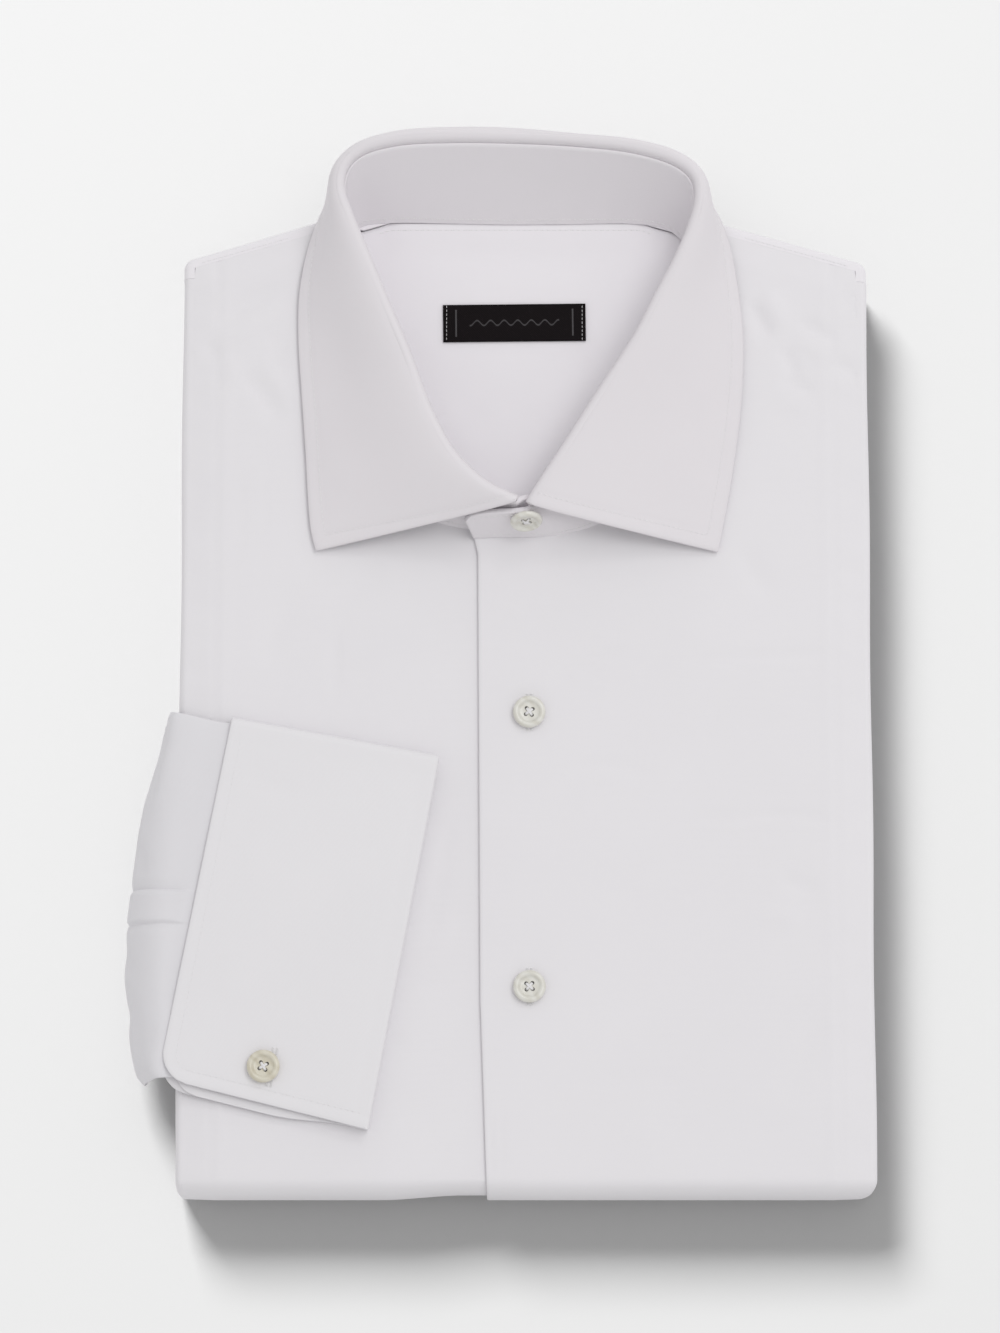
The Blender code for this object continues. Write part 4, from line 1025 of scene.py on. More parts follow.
@dataclass
class ShirtFronts:
    """The two fronts: upper face, bottom fold and turned-under tail, rolled round each side fold."""

    form: FoldedBody
    pressing: Pressing
    step: float = 1.9
    right_corner: float = 3.0
    left_corner: float = 7.0
    corner_reach: float = 22.0
    right_stations: tuple[float, ...] = (27, 12, 0, -8, -14, -20, -28, -35, -42, -47, -51, -54, -56.4, -58, -72, -86)
    left_stations: tuple[float, ...] = (4, 14, 24, 33, 43.5, 50, 55, 60, 64, 67.4, 69.2, 70.6, 84, 100)
    split_y: float = 30.0

    def top_of(self, x: float, inset: float, side: Side) -> float:
        """Find where a flat column begins: at the neckline or at the shoulder seam.

        Args:
            x: The column's x.
            inset: Its distance from the side fold.
            side: Which front.

        Returns:
            Its y.
        """
        height, slope = self.form.shoulder(side)
        if inset < self.form.seam_inset:
            return height - self.form.corner_length
        if self.form.has_neckline(x, side):
            return self.form.neckline_y(x, side)
        return self.form.shoulder_line(x) - self.form.seam_inset * hypot(1.0, slope)

    def columns(self, side: Side) -> list[tuple[float, float, float | None, float]]:
        """List the columns of a front from the centre to the side fold.

        Args:
            side: Which front.

        Returns:
            For each: x, inset from the side fold, angle of the roll or None, y of its top.
        """
        form = self.form
        right = side is Side.RIGHT_FRONT
        edge, inward = (form.left_x, 1.0) if right else (form.right_x, -1.0)
        coarse = list(self.right_stations) if right else [form.front_edge_x(45.0), *self.left_stations]
        coarse += [edge + inward * inset for inset in (form.strip_width, 8.0, 4.3, 3.9)]
        tops = [self.top_of(x, abs(x - edge), side) for x in coarse]
        flat = parted(coarse, self.step)
        order = slice(None, None, -1) if right else slice(None)
        found = [(x, abs(x - edge), None, y) for x, y in zip(flat, np.interp(flat, coarse[order], tops[order]))]
        corner_y = form.shoulder(side)[0] - form.corner_length
        turned = [(form.edge_roll(angle, 1.0, 0.0)[0], float(angle)) for angle in np.linspace(0.0, 180.0, 17)]
        turned += [(form.edge_reach + form.turn_in * beyond, 180.0) for beyond in (0.5, 1.0)]
        return found + [(edge + inward * inset, inset, angle, corner_y) for inset, angle in turned]

    def rows(self) -> list[tuple[str, float]]:
        """List the rows: shares of the upper face, angles of the fold, shares of the under face.

        Returns:
            Kind and value of each row, from the shoulder to the end of the tail.
        """
        rows = [("upper", value) for value in (*np.linspace(0.0, 1.0, 64), *np.linspace(1.0, 1.985, 112)[1:])]
        rows += [("turn", angle) for angle in np.linspace(0.0, 180.0, 19)]
        return rows + [("under", value) for value in (0.01, 0.03, *np.linspace(0.06, 1.0, 34))]

    def grid(self, side: Side) -> ClothGrid:
        """Build the sheet of one front, creased.

        Args:
            side: Which front.

        Returns:
            Its outer face.
        """
        form = self.form
        right = side is Side.RIGHT_FRONT
        rows, columns = self.rows(), self.columns(side)
        x, inset, y_top = (np.array([column[part] for column in columns]) for part in (0, 1, 3))
        rolls = [(form.strip_drop(off), 0.0) if angle is None else
                 (form.top_z - form.edge_roll(angle, form.top_z - form.strip_fall, form.upper_end_z)[1],
                  form.edge_roll(angle, 0.0, form.lower_end_z)[1]) for _, off, angle, _ in columns]
        fallen, raised = np.array(rolls).T
        flat = np.array([angle is None for _, _, angle, _ in columns])
        lap = form.lap(x) * right
        shift = (self.right_corner if right else -self.left_corner) * np.maximum(0.0, 1.0 - inset / self.corner_reach)
        points = np.empty((len(rows), len(columns), 3))
        for line, (kind, value) in zip(points, rows):
            line[:, 0] = x
            if kind == "upper" and value <= 1.0:
                y = mix(y_top, self.split_y, value)
                above = (form.shoulder_line(x) - y) / hypot(1.0, form.shoulder(side)[1])
                at_shoulder = np.maximum(fallen, form.strip_drop(above) * (1.0 - form.neck_share(x)))
                line[:, 1], line[:, 2] = y, form.top_z - np.where(flat, at_shoulder, fallen) - lap
            elif kind == "upper":
                line[:, 1], line[:, 2] = mix(self.split_y, form.turn_y, value - 1.0), form.top_z - fallen - lap
            elif kind == "under":
                line[:, 1], line[:, 2] = mix(form.turn_y, form.tail_y, value), raised + lap
            else:
                cosine, sine = cos_sin(value)
                scale = 1.0 - mix(fallen, raised, value / 180.0) / form.mid_z
                reach, half = form.turn_reach * scale, form.mid_z * scale
                steepness = np.hypot(sine / reach, cosine / half)
                out = reach * sine - lap * sine / reach / steepness
                line[:, 0] += shift * (1.0 - np.sqrt(1.0 - (out / (form.turn_reach + 0.5)) ** 2))
                line[:, 1] = form.turn_y - out
                line[:, 2] = form.mid_z + half * cosine - lap * cosine / half / steepness
        if not right:
            free, near = columns[0][0], self.left_stations[0]
            share = np.clip((near - points[:, :, 0]) / (near - free), 0.0, 1.0)
            edges = np.array([form.front_edge_x(y) for y in points[:, 0, 1]])
            points[:, :, 0] += (edges - free)[:, None] * share
        self.crease(points, rows, columns, right)
        across, down = arc_lengths(points[100]), runs(points, 0)
        lay = np.stack(np.broadcast_arrays(across[None, :], down - down[rows.index(("upper", 1.0))]), axis=2)
        return ClothGrid(points, flip=not right, lay=lay)

    def crease(self, points: Array, rows: Sequence, columns: Sequence, right: bool) -> None:
        """Lift the upper face by the pressing, less where the cloth turns away.

        Args:
            points: Changed in place.
            rows: As rows() gives them.
            columns: As columns() gives them.
            right: True for the right front.
        """
        x, y = points[:, :, 0], points[:, :, 1]
        upper = np.array([{"upper": 1.0, "under": 0.0}.get(kind, float(1.0 - ease(0.0, 90.0, value)))
                          for kind, value in rows])
        outer = np.array([1.0 if angle is None else float(1.0 - ease(20.0, 100.0, angle))
                          for _, _, angle, _ in columns])
        seam = ease(0.0, 9.0, np.abs(y - y[0]))
        inset = np.array([column[1] for column in columns])
        line = inset - self.form.strip_width
        pressed_line = -0.38 * np.exp(-((line + 0.3) / 0.9) ** 2) + 0.16 * np.exp(-((line - 3.4) / 1.6) ** 2)
        on_strip = ease(1.0, 4.0, inset) * (1.0 - ease(9.0, 12.0, inset))
        ripple = np.sin(y / 2.1 + 2.0 * np.sin(y / 21.0)) + np.sin(y / 5.3)
        lifts = self.pressing.lift(x, y) * seam + pressed_line + 0.07 * ripple * on_strip
        points[:, :, 2] += lifts * upper[:, None] * outer
        # the turned folds keep a slow wave of their own along their length
        for c, (_, _, angle, _) in enumerate(columns):
            if angle is not None and angle > 40.0:
                wave = 0.22 * np.sin(y[:, c] / 17.0 + (0.0 if right else 1.7))
                x[:, c] += wave * sin(radians(min(angle, 160.0))) * (1.0 if right else -1.0)

    def build(self) -> None:
        """Make both fronts."""
        for side, name, node in ((Side.RIGHT_FRONT, "right_front_cloth", "front_right"),
                                 (Side.LEFT_FRONT, "left_front_cloth", "front_left")):
            piece = cloth_piece(name, self.grid(side), self.form.cloth, BODY_COTTON, rims=(0.06, 0.45, 0.45, 0.45))
            finish_piece(piece, node)


@dataclass
class Yokes:
    """The outer yoke over the shoulder edge and the inner yoke inside the neck."""

    form: FoldedBody
    outer_stations: tuple[float, ...] = (-97, -82, -69, -57.5, -50.5, -20, 6.2, 32, 62.9, 69.9, 82, 97, 113)
    inner_stations: tuple[float, ...] = (-58.6, -56.6, -54, -50, -43, -36, -28, -18, -6, 6, 18, 28.5, 36, 44, 52, 60,
                                         67, 71)
    facing_rise: float = 1.2
    under_front: float = 7.0
    beside_lap: float = 1.5

    def edge_path(self) -> list[tuple[Array, Array]]:
        """Draw the top edge of the bundle in plan, with inward normals.

        Returns:
            Point and normal in plan, from -X to +X.
        """
        form = self.form
        left_x, left_y, right_x, right_y = form.left_x, form.left_shoulder_y, form.right_x, form.right_shoulder_y
        low = form.corner_length + 0.02
        corners = [(left_x, left_y - low), (left_x, left_y),
                   (left_x + (form.neck_edge_y - left_y) / form.left_slope, form.neck_edge_y),
                   (right_x - (form.neck_edge_y - right_y) / form.right_slope, form.neck_edge_y),
                   (right_x, right_y), (right_x, right_y - low)]
        radii = (form.shoulder_corner, form.neck_bend, form.neck_bend, form.shoulder_corner)
        path = [(point, np.array((y, -x))) for point, (x, y) in rounded_polyline(corners, radii, 8)]
        for x in parted(self.outer_stations, 2.5):
            after = next(index for index, (point, _) in enumerate(path) if point[0] > x)
            (start, _), (end, normal) = path[after - 1], path[after]
            path.insert(after, (mix(start, end, (x - start[0]) / (end[0] - start[0])), normal))
        return path

    def outer_grid(self) -> ClothGrid:
        """Build the outer yoke, rolled over the shoulder edge and turned in below.

        Returns:
            Its outer face.
        """
        form = self.form
        grid = []
        for point, normal in self.edge_path():
            share = form.neck_share(point[0])
            start_z = form.top_z - form.strip_fall * (1.0 - share)
            behind = 1.0 - float(ease(56.7, 63.7, abs(point[0] - form.neck_x)))
            start = mix(form.seam_inset + 0.08, form.neck_seam_inset + 0.7, behind)
            end = form.edge_reach + mix(0.8, form.yoke_turn_in, share)
            seam_z = form.top_z - form.strip_drop(start) * (1.0 - share)
            section = [(start, seam_z), (mix(start, form.edge_reach, 0.5), mix(seam_z, start_z, 0.5))]
            section += [form.edge_roll(angle, start_z, form.upper_end_z) for angle in np.linspace(0, 180, 17)]
            section += [(mix(form.edge_reach, end, t), form.upper_end_z) for t in (0.5, 1.0)]
            ripple = 0.12 * sin(point[0] / 9.0) + 0.1 * sin(point[0] / 23.0 + 1.0)
            insets, heights = np.array(section).T
            insets = insets + ripple * np.sin(pi * np.arange(len(section)) / len(section))
            grid.append(np.column_stack([point + normal * insets[:, None], heights]))
        return ClothGrid(np.array(grid), flip=True)

    def facing_height(self, x: Values, y: Values) -> Values:
        """Return the upper face of the inner yoke, which lifts to the back neck seam."""
        inside = 1.0 - ease(40.0, 50.0, abs(x - self.form.neck_x))
        return self.form.inner_z + self.facing_rise * ease(144.0, 157.0, y) * inside

    def facing_front(self, x: float) -> float:
        """Find the front end of the inner yoke: under the fronts, but short of their lap.

        Args:
            x: A plan x.

        Returns:
            Its y.
        """
        form = self.form
        edge = form.neckline_y(x, Side.RIGHT_FRONT if x < form.neck_x else Side.LEFT_FRONT)
        if x < form.lap_right_x + 2.0:
            edge = max(edge, form.neckline_y(x, Side.RIGHT_FRONT))
        beside = float(ease(-50.0, -43.0, x) * (1.0 - ease(28.5, 36.0, x)))
        return edge + mix(-self.under_front, self.beside_lap, beside)

    def inner_grid(self) -> ClothGrid:
        """Build the inner yoke, softly uneven inside the neck.

        Returns:
            Its upper face.
        """
        fronts = [self.facing_front(x) for x in self.inner_stations]
        across, shares = parted(self.inner_stations, 2.2), np.linspace(0.0, 1.0, 58)[:, None]
        backs = self.form.shoulder_line(across) - self.form.neck_seam_inset - 0.9
        y = mix(np.interp(across, self.inner_stations, fronts), backs, shares)
        x = np.broadcast_to(across, y.shape)
        open_part = ease(52.0, 66.0, y) * (1.0 - ease(146.0, 154.0, y)) * (1.0 - ease(38.0, 52.0, abs(x - 6.2)))
        over_label = ease(9.0, 17.0, np.hypot((x - 5.1) * 0.30, y - 121.7))
        lift = lift_of((SoftWaves(0.22, 38.0, 5), *INNER_YOKE_FOLDS), x, y)
        return ClothGrid(np.stack([x, y, self.facing_height(x, y) + lift * open_part * over_label], axis=2))

    def build(self) -> None:
        """Make both yokes."""
        outer = cloth_piece("outer_yoke_cloth", self.outer_grid(), self.form.cloth, YOKE_COTTON_PAINTED_LIGHT,
                            rims=(0.06, 0.06, 0.06, 0.45))
        inner = cloth_piece("inner_yoke_cloth", self.inner_grid(), self.form.cloth, YOKE_COTTON_PAINTED_LIGHT)
        finish_piece(outer, "yoke")
        finish_piece(inner, "yoke_facing")


@dataclass
class NeckLabel:
    """The woven label, sewn flat on the inner yoke by its short ends."""

    form: FoldedBody
    length: float = 50.5
    width: float = 13.6
    thickness: float = 0.6
    centre: Pair = (5.1, 121.7)
    turn: float = 0.6

    def build(self) -> None:
        """Make the label: soft edges, a slight ripple towards its long edges and a slightly lifted middle."""
        x, y = np.meshgrid(np.linspace(-self.length / 2, self.length / 2, 44),
                           np.linspace(-self.width / 2, self.width / 2, 14))
        lift = 0.16 * np.cos(x / self.length * pi) * (1.0 - (2.0 * y / self.width) ** 2)
        sag = 0.05 * np.sin(x / 2.7) * (np.abs(y) / self.width)
        cosine, sine = cos_sin(self.turn)
        points = np.stack([self.centre[0] + cosine * x - sine * y, self.centre[1] + sine * x + cosine * y,
                           self.form.inner_z + GAP + self.thickness + lift + sag], axis=2)
        label = cloth_piece("woven_neck_label", ClothGrid(points, lay=np.stack([x, y], axis=2)), self.thickness,
                            LabelSatin(length=self.length), rims=(0.2,) * 4)
        finish_piece(label, "neck_label")


# ---- collar
@dataclass
class Collar:
    """Stand and leaf, both drawn from one table of sections."""

    form: FoldedBody
    sections_count: int = 236
    stand_cloth: float = 2.0
    leaf_cloth: float = 1.35
    crest_radius: float = 1.7
    crest_shift: float = 0.7
    seam_gap: float = 0.03
    seam_drop: float = 1.8
    stand_bow: float = 0.8
    sewn_depth: float = 1.55
    fall_steps: int = 44
    crest_steps: int = 9
    stand_steps: int = 20
    stitch_inset: float = 5.0
    stand_stitch_inset: float = 1.9
    button_x: float = 8.8
    button_rise: float = 0.82

    @property
    def foot_z(self) -> float:
        """Height of the stand's foot."""
        return self.form.top_z + GAP

    def draw_sections(self) -> tuple[Array, Array]:
        """Draw each section of the table, resampled along the crest.

        Returns:
            The leaf's line of points in each section, from the stand round the crest to the rim, and
            the stand's foot and top.
        """
        fine = smooth_curve(np.array(COLLAR_ROWS)[:, (2, 3, 4, 0, 1, 5, 6, 7, 8)], self.sections_count)
        radius, leaf, stand = self.crest_radius, [], []
        for index, (row, heading) in enumerate(zip(fine, unit(np.gradient(fine[:, 0:3], axis=0)))):
            outward = unit(np.array((-heading[1], heading[0], 0.0)))
            upward = np.cross(heading, outward)
            centre = row[0:3] + (outward - upward) * radius * self.crest_shift
            level = self.form.lap(row[3]) if index < self.sections_count / 4 else 0.0
            foot = np.array((row[3], row[4], self.foot_z - level))
            meeting = centre
            for _ in range(3):
                lean, climb = (meeting - foot) @ outward, (meeting - foot) @ upward
                start = atan2(lean, climb)
                meeting = centre + radius * (upward * sin(start) - outward * cos(start))
            direction = unit(meeting - foot)
            foot[2] += self.stand_cloth / 2 * abs(lean) / hypot(lean, climb) - self.sewn_depth
            stand.append((*foot, *(meeting - direction * self.seam_drop)))
            crest = [centre + radius * (upward * sin(angle) - outward * cos(angle))
                     for angle in np.linspace(start, pi / 2, self.crest_steps + 1)]
            leaf.append([meeting - direction * (self.seam_drop - self.seam_gap), *crest,
                         *self.fall(crest[-1], row[5:8], outward, row[8])])
        return np.array(leaf), np.array(stand)

    def fall(self, top: Array, rim: Array, outward: Array, roll: float) -> Array:
        """Draw the leaf down from the crest, hanging free or coming to lie on the shirt.

        Args:
            top: Point on the crest.
            rim: Point on the rim.
            outward: Level direction away from the neck.
            roll: How far the leaf rolls out before it falls.

        Returns:
            The points after the crest.
        """
        hanging = float(ease(22.0, 34.0, top[2] - rim[2]))
        lying = rim + np.array((*(top - rim)[:2] * 0.34, 4.2))
        t = (np.arange(1, self.fall_steps + 1)[:, None] / self.fall_steps) ** 1.25
        u = 1.0 - t
        return (u**3 * top + 3 * u * u * t * (top + outward * roll)
                + 3 * u * t * t * mix(lying, rim + outward + np.array((0.0, 0.0, 17.0)), hanging) + t**3 * rim)

    @staticmethod
    def rim_distances(points: Array) -> tuple[Array, Array]:
        """Return for each point of the leaf how far it lies from the rim and from the nearer front edge."""
        along = runs(points, 0)
        return runs(points[:, ::-1], 1)[:, ::-1], np.minimum(along, along[-1] - along)

    def leaf_grid(self, lines: Array) -> ClothGrid:
        """Build the leaf's middle surface from its lines, with its pressed rim, seam ridge and soft roll.

        Args:
            lines: The leaf's line of points in each section.

        Returns:
            The surface.
        """
        grid = ClothGrid(lines, flip=True)
        to_rim, to_front = self.rim_distances(lines)
        x, y = lines[:, :, 0], lines[:, :, 1]
        inside = np.minimum(to_rim, to_front)
        groove = -0.17 * np.exp(-((inside - self.stitch_inset) / 0.75) ** 2)
        swell = 0.10 * ease(0.0, 2.0, inside) * (1.0 - ease(3.2, 4.6, inside))
        by_row = np.exp(-((inside - self.stitch_inset + 1.0) / 2.0) ** 2)
        pucker = 0.05 * np.sin(np.arange(len(lines))[:, None] * 1.05) * by_row
        soft = SoftWaves(0.22, 42.0, 11).lift(x, y) * ease(3.0, 14.0, to_rim) + lift_of(LEAF_FOLDS, x, y)
        falling = np.arange(lines.shape[1]) > self.crest_steps + 2
        lift = (groove + swell + pucker + soft * ease(0.0, 8.0, to_front)) * falling
        return ClothGrid(lines + grid.normals() * lift[:, :, None], flip=True)

    def rim_stitches(self, grid: ClothGrid) -> Array:
        """Follow the leaf's topstitching, down one front edge, round the rim and up the other.

        Args:
            grid: The leaf's middle surface.

        Returns:
            Points on its outer face.
        """
        outer = grid.points + grid.normals() * (self.leaf_cloth / 2 + THREAD_RISE)
        inset, along = self.stitch_inset, runs(outer, 0)
        distances = np.stack([self.rim_distances(outer)[0], along, along[-1] - along], axis=2)
        known = np.concatenate([outer, distances], axis=2)
        beside = known[:, self.crest_steps + 4:].swapaxes(0, 1)
        first, last = ([point_at(inset, line[:, place], line) for line in beside] for place in (4, 5))
        rim = [point_at(inset, line[:, 3], line) for line in known]
        return np.array([*(point[:3] for point in first if point[3] > inset),
                         *(point[:3] for point in rim if min(point[4:]) > inset),
                         *(point[:3] for point in last[::-1] if point[3] > inset)])

    def stand_grid(self, ring: Array) -> ClothGrid:
        """Build the stand's middle surface from its ring of feet and tops, with both ends that lap.

        Args:
            ring: Foot and top of each section.

        Returns:
            The surface, from the end of the underlap to the end of the overlap.
        """
        under_z, over_z = self.foot_z - self.form.lap_depth - 0.35, self.foot_z - 0.35
        under = np.array([(fx, fy, under_z, tx, ty, tz) for fx, fy, tx, ty, tz in STAND_UNDERLAP])
        over = np.array([(fx, fy, over_z, tx, ty, tz) for fx, fy, tx, ty, tz in STAND_OVERLAP])
        before = smooth_curve(np.concatenate([under, ring[:1]]), 14)[:-1]
        after = smooth_curve(np.concatenate([ring[-4:-1:3], ring[-1:], over]), 42)
        after = after[np.searchsorted(arc_lengths(after), np.linalg.norm(ring[-1, :3] - ring[-4, :3])):]
        rows = np.concatenate([before, ring, after])
        foot, top = rows[:, None, :3], rows[:, None, 3:]
        middles = (foot + top)[:, 0] / 2
        along = np.gradient(middles, axis=0)
        outward = unit(np.stack([-along[:, 1], along[:, 0], np.zeros(len(rows))], axis=1))
        spaced = arc_lengths(middles)
        bow = self.stand_bow * ease(18.0, 42.0, np.minimum(spaced, spaced[-1] - spaced))
        t = np.linspace(0.0, 1.0, self.stand_steps + 1)[None, :, None]
        return ClothGrid(mix(foot, top, t) + outward[:, None, :] * bow[:, None, None] * np.sin(pi * t))

    def stand_stitches(self, grid: ClothGrid) -> list[Array]:
        """Draw the stitch paths above the neck seam, on both faces of the stand, and under its top.

        Args:
            grid: The stand's middle surface.

        Returns:
            One path for each row.
        """
        off = grid.normals() * (self.stand_cloth / 2 + THREAD_RISE)
        low, high = (np.linalg.norm(grid.points - grid.points[:, edge, None], axis=2) for edge in (0, -1))
        rows = range(3, len(off) - 2)
        return [np.array([point_at(self.stand_stitch_inset, height[r], face[r]) for r in part])
                for height, face, part in ((low, grid.points + off, rows), (low, grid.points - off, rows),
                                           (high, grid.points + off, rows[-34:]))]

    def button_seat(self, grid: ClothGrid) -> tuple[Array, Array]:
        """Find where the collar button sits on the overlap, and the direction that it faces.

        Args:
            grid: The stand's middle surface.

        Returns:
            The point and the unit direction.
        """
        column = round(self.button_rise * self.stand_steps)
        row = len(grid.points) - 38 + int(np.argmin(np.abs(grid.points[-38:, column, 0] - self.button_x)))
        normal = grid.normals()[row, column]
        return grid.points[row, column] + normal * (self.stand_cloth / 2 + GAP), normal

    def build(self) -> tuple[ClothGrid, ClothGrid]:
        """Make stand and leaf.

        Returns:
            The stand's surface, then the leaf's.
        """
        leaf_lines, stand_ring = self.draw_sections()
        leaf_grid, stand_grid = self.leaf_grid(leaf_lines), self.stand_grid(stand_ring)
        stand = cloth_piece("collar_stand_cloth", stand_grid, self.stand_cloth, STAND_COTTON, sunk=False,
                            rims=(0.7, 0.7, 0.2, 0.25))
        leaf = cloth_piece("collar_leaf_cloth", leaf_grid, self.leaf_cloth, COLLAR_COTTON_PAINTED_SHADE, sunk=False,
                           rims=(0.45, 0.45, 0.25, 0.45))
        finish_piece(stand, "collar_stand")
        finish_piece(leaf, "collar_leaf")
        return stand_grid, leaf_grid


# ---- cuff
@dataclass
class DoubleCuff:
    """The double cuff: one wall turned back on itself and flattened, open at the wrist slit."""

    form: FoldedBody
    upper_left: Pair = (-93.3, -20.6)
    upper_right: Pair = (-20.9, -34.0)
    lower_right: Pair = (-45.4, -164.6)
    lower_left: Pair = (-117.9, -146.4)
    cloth: float = 1.1
    layer_gap: float = 0.35
    hollow: float = 0.6
    corner: float = 10.0
    peek: float = 3.0
    inset: float = 4.2
    stitch_inset: float = 4.6
    button: Pair = (-81.5, -143.0)

    @property
    def height(self) -> float:
        """Height of the flattened cuff."""
        return 4 * self.cloth + 2 * self.layer_gap + self.hollow

    @property
    def bottom_z(self) -> float:
        """Under face of the cuff."""
        return self.form.top_z + GAP

    @property
    def length(self) -> float:
        """Length of the free edge, down the wrist."""
        return float(np.linalg.norm(np.subtract(self.lower_left, self.upper_left)))

    def line_across(self, q: Values) -> tuple[Array, Array]:
        """Draw the line across the cuff at share q down the wrist.

        Args:
            q: 0 at the fold, 1 at the slit edge.

        Returns:
            The plan points on the free edge's side and on the turned edge.
        """
        down = np.asarray(q, float)[..., None]
        return (mix(np.array(self.upper_left), np.array(self.lower_left), down),
                mix(np.array(self.upper_right), np.array(self.lower_right), down))

    def plan(self, p: Values, q: Values) -> Array:
        """Return the plan points p mm from the free edge's line and share q down the wrist."""
        start, end = self.line_across(q)
        return mix(start, end, (p / np.linalg.norm(end - start, axis=-1))[..., None])

    def width(self, q: float) -> float:
        """Return the distance from the free edge's line to the turned edge."""
        start, end = self.line_across(q)
        return float(np.linalg.norm(end - start))

    def free_edge(self, q: float) -> float:
        """Return where the free edge lies: it rounds off at the open end of the wrist."""
        rise = max(self.corner - max((1.0 - q) * self.length, 0.0), 0.0)
        return self.corner - sqrt(self.corner**2 - rise**2)

    def peek_share(self, q: float) -> float:
        """Return how far the under side shows past the upper one, as a share of the length."""
        return self.peek / self.length * float(ease(0.7, 1.0, q))

    def section(self, q: float) -> Array:
        """Draw the turned-back wall once round, with its depth below the outer face.

        Args:
            q: Share down the wrist.

        Returns:
            The distances p from the free edge's line, and the depths.
        """
        free, width = self.free_edge(q), self.width(min(max(q, 0.0), 1.0))
        inner = 2 * self.cloth + self.layer_gap
        bend, slit = inner / 2, self.layer_gap / 2
        turn, sewn, soft = width - bend, free + self.inset, self.cloth / 2
        flat = [0.0, 0.02, 0.05, 0.085, 0.12, *np.linspace(0.16, 1.0, 22)]
        line = [(mix(free + soft, turn, t), 0.0) for t in flat]
        line += [(turn + bend * sin(a), bend - bend * cos(a)) for a in np.linspace(0.3, 2.84, 8)]
        line += [(mix(turn, sewn, t), inner) for t in np.linspace(0.0, 1.0, 12)]
        line += [(mix(sewn, turn, t), self.cloth + self.layer_gap) for t in np.linspace(0.0, 1.0, 12)]
        line += [(turn + slit * sin(a), bend - slit * cos(a)) for a in (2.4, 1.57, 0.8)]
        line += [(mix(turn, free + soft, t), self.cloth) for t in np.linspace(0.0, 1.0, 16)]
        line += [(free + soft - soft * sin(a), soft + soft * cos(a)) for a in (0.8, 1.57, 2.3)]
        return np.array(line).T

    def lift(self, x: Array, y: Array) -> Array:
        """Return how far the upper side swells above its level at plan points."""
        near_button = ease(7.5, 15.0, np.hypot(x - self.button[0], y - self.button[1]))
        return lift_of((SoftWaves(0.16, 30.0, 21), *CUFF_FOLDS), x, y) * near_button

    def build(self) -> None:
        """Make the cuff as one closed wall: upper side, round the fold, under side."""
        half = self.height / 2
        middle, fold = self.bottom_z + half, half / self.length
        shares = [1.0, 0.996, *np.linspace(0.99, 0.925, 9), *np.linspace(0.90, 0.06, 40)]
        rings, lay = [], []
        for q in shares:
            (p, depth), left = self.section(q), (1.0 - q) * self.length
            x, y = self.plan(p, q).T
            groove = 0.16 * np.exp(-((np.minimum(p - self.free_edge(q), left + 0.3) - self.stitch_inset) / 0.8) ** 2)
            drop = np.where(depth > 0.0, depth, groove + 0.35 * (1.0 - ease(0.0, 0.9, left)))
            rings.append(np.stack([x, y, middle + half - drop + self.lift(x, y) * ease(0.04, 0.12, q)], axis=1))
            lay.append((p + depth, q * self.length))
        p, depth = self.section(fold)
        for angle in np.linspace(0.0, pi, 13):
            plan = self.plan(p, fold - sin(angle) * (half - depth) / self.length)
            rings.append(np.column_stack([plan, middle + cos(angle) * (half - depth)]))
            lay.append((p + depth, -angle * half))
        for q in shares[::-1]:
            p, depth = self.section(q)
            plan = self.plan(p, q + self.peek_share(q) * (1.0 - ease(40.0, 70.0, p)))
            rings.append(np.column_stack([plan, middle - half + depth]))
            lay.append((p + depth, -q * self.length))
        lay = [np.stack(np.broadcast_arrays(across, down), axis=1) for across, down in lay]
        piece = loft_piece("double_cuff_cloth", rings, CUFF_COTTON, lay,
                           cap=strip_cap(self.section(1.0).T, bend=46, tail=3))
        finish_piece(piece, "cuff")

    def stitches(self) -> Array:
        """Draw the topstitching inside the free edge and the slit edge, round the corner.

        Returns:
            Points on the upper side.
        """
        top = self.bottom_z + self.height - 0.13
        inset, radius = self.stitch_inset, self.corner - self.stitch_inset
        end, round_off = 1.0 - inset / self.length, radius / self.length
        line = [(inset + self.free_edge(q), q) for q in np.linspace(0.035, end - round_off, 60)]
        line += [(inset + radius - radius * cos(angle), end - round_off + sin(angle) * round_off)
                 for angle in np.linspace(0.0, pi / 2, 9)[1:]]
        line += [(p, end) for p in np.linspace(self.corner, self.width(end) - 4.0, 34)[1:]]
        p, q = np.array(line).T
        plan = self.plan(p, q)
        return np.column_stack([plan, top + self.lift(*plan.T) * ease(0.04, 0.12, q)])


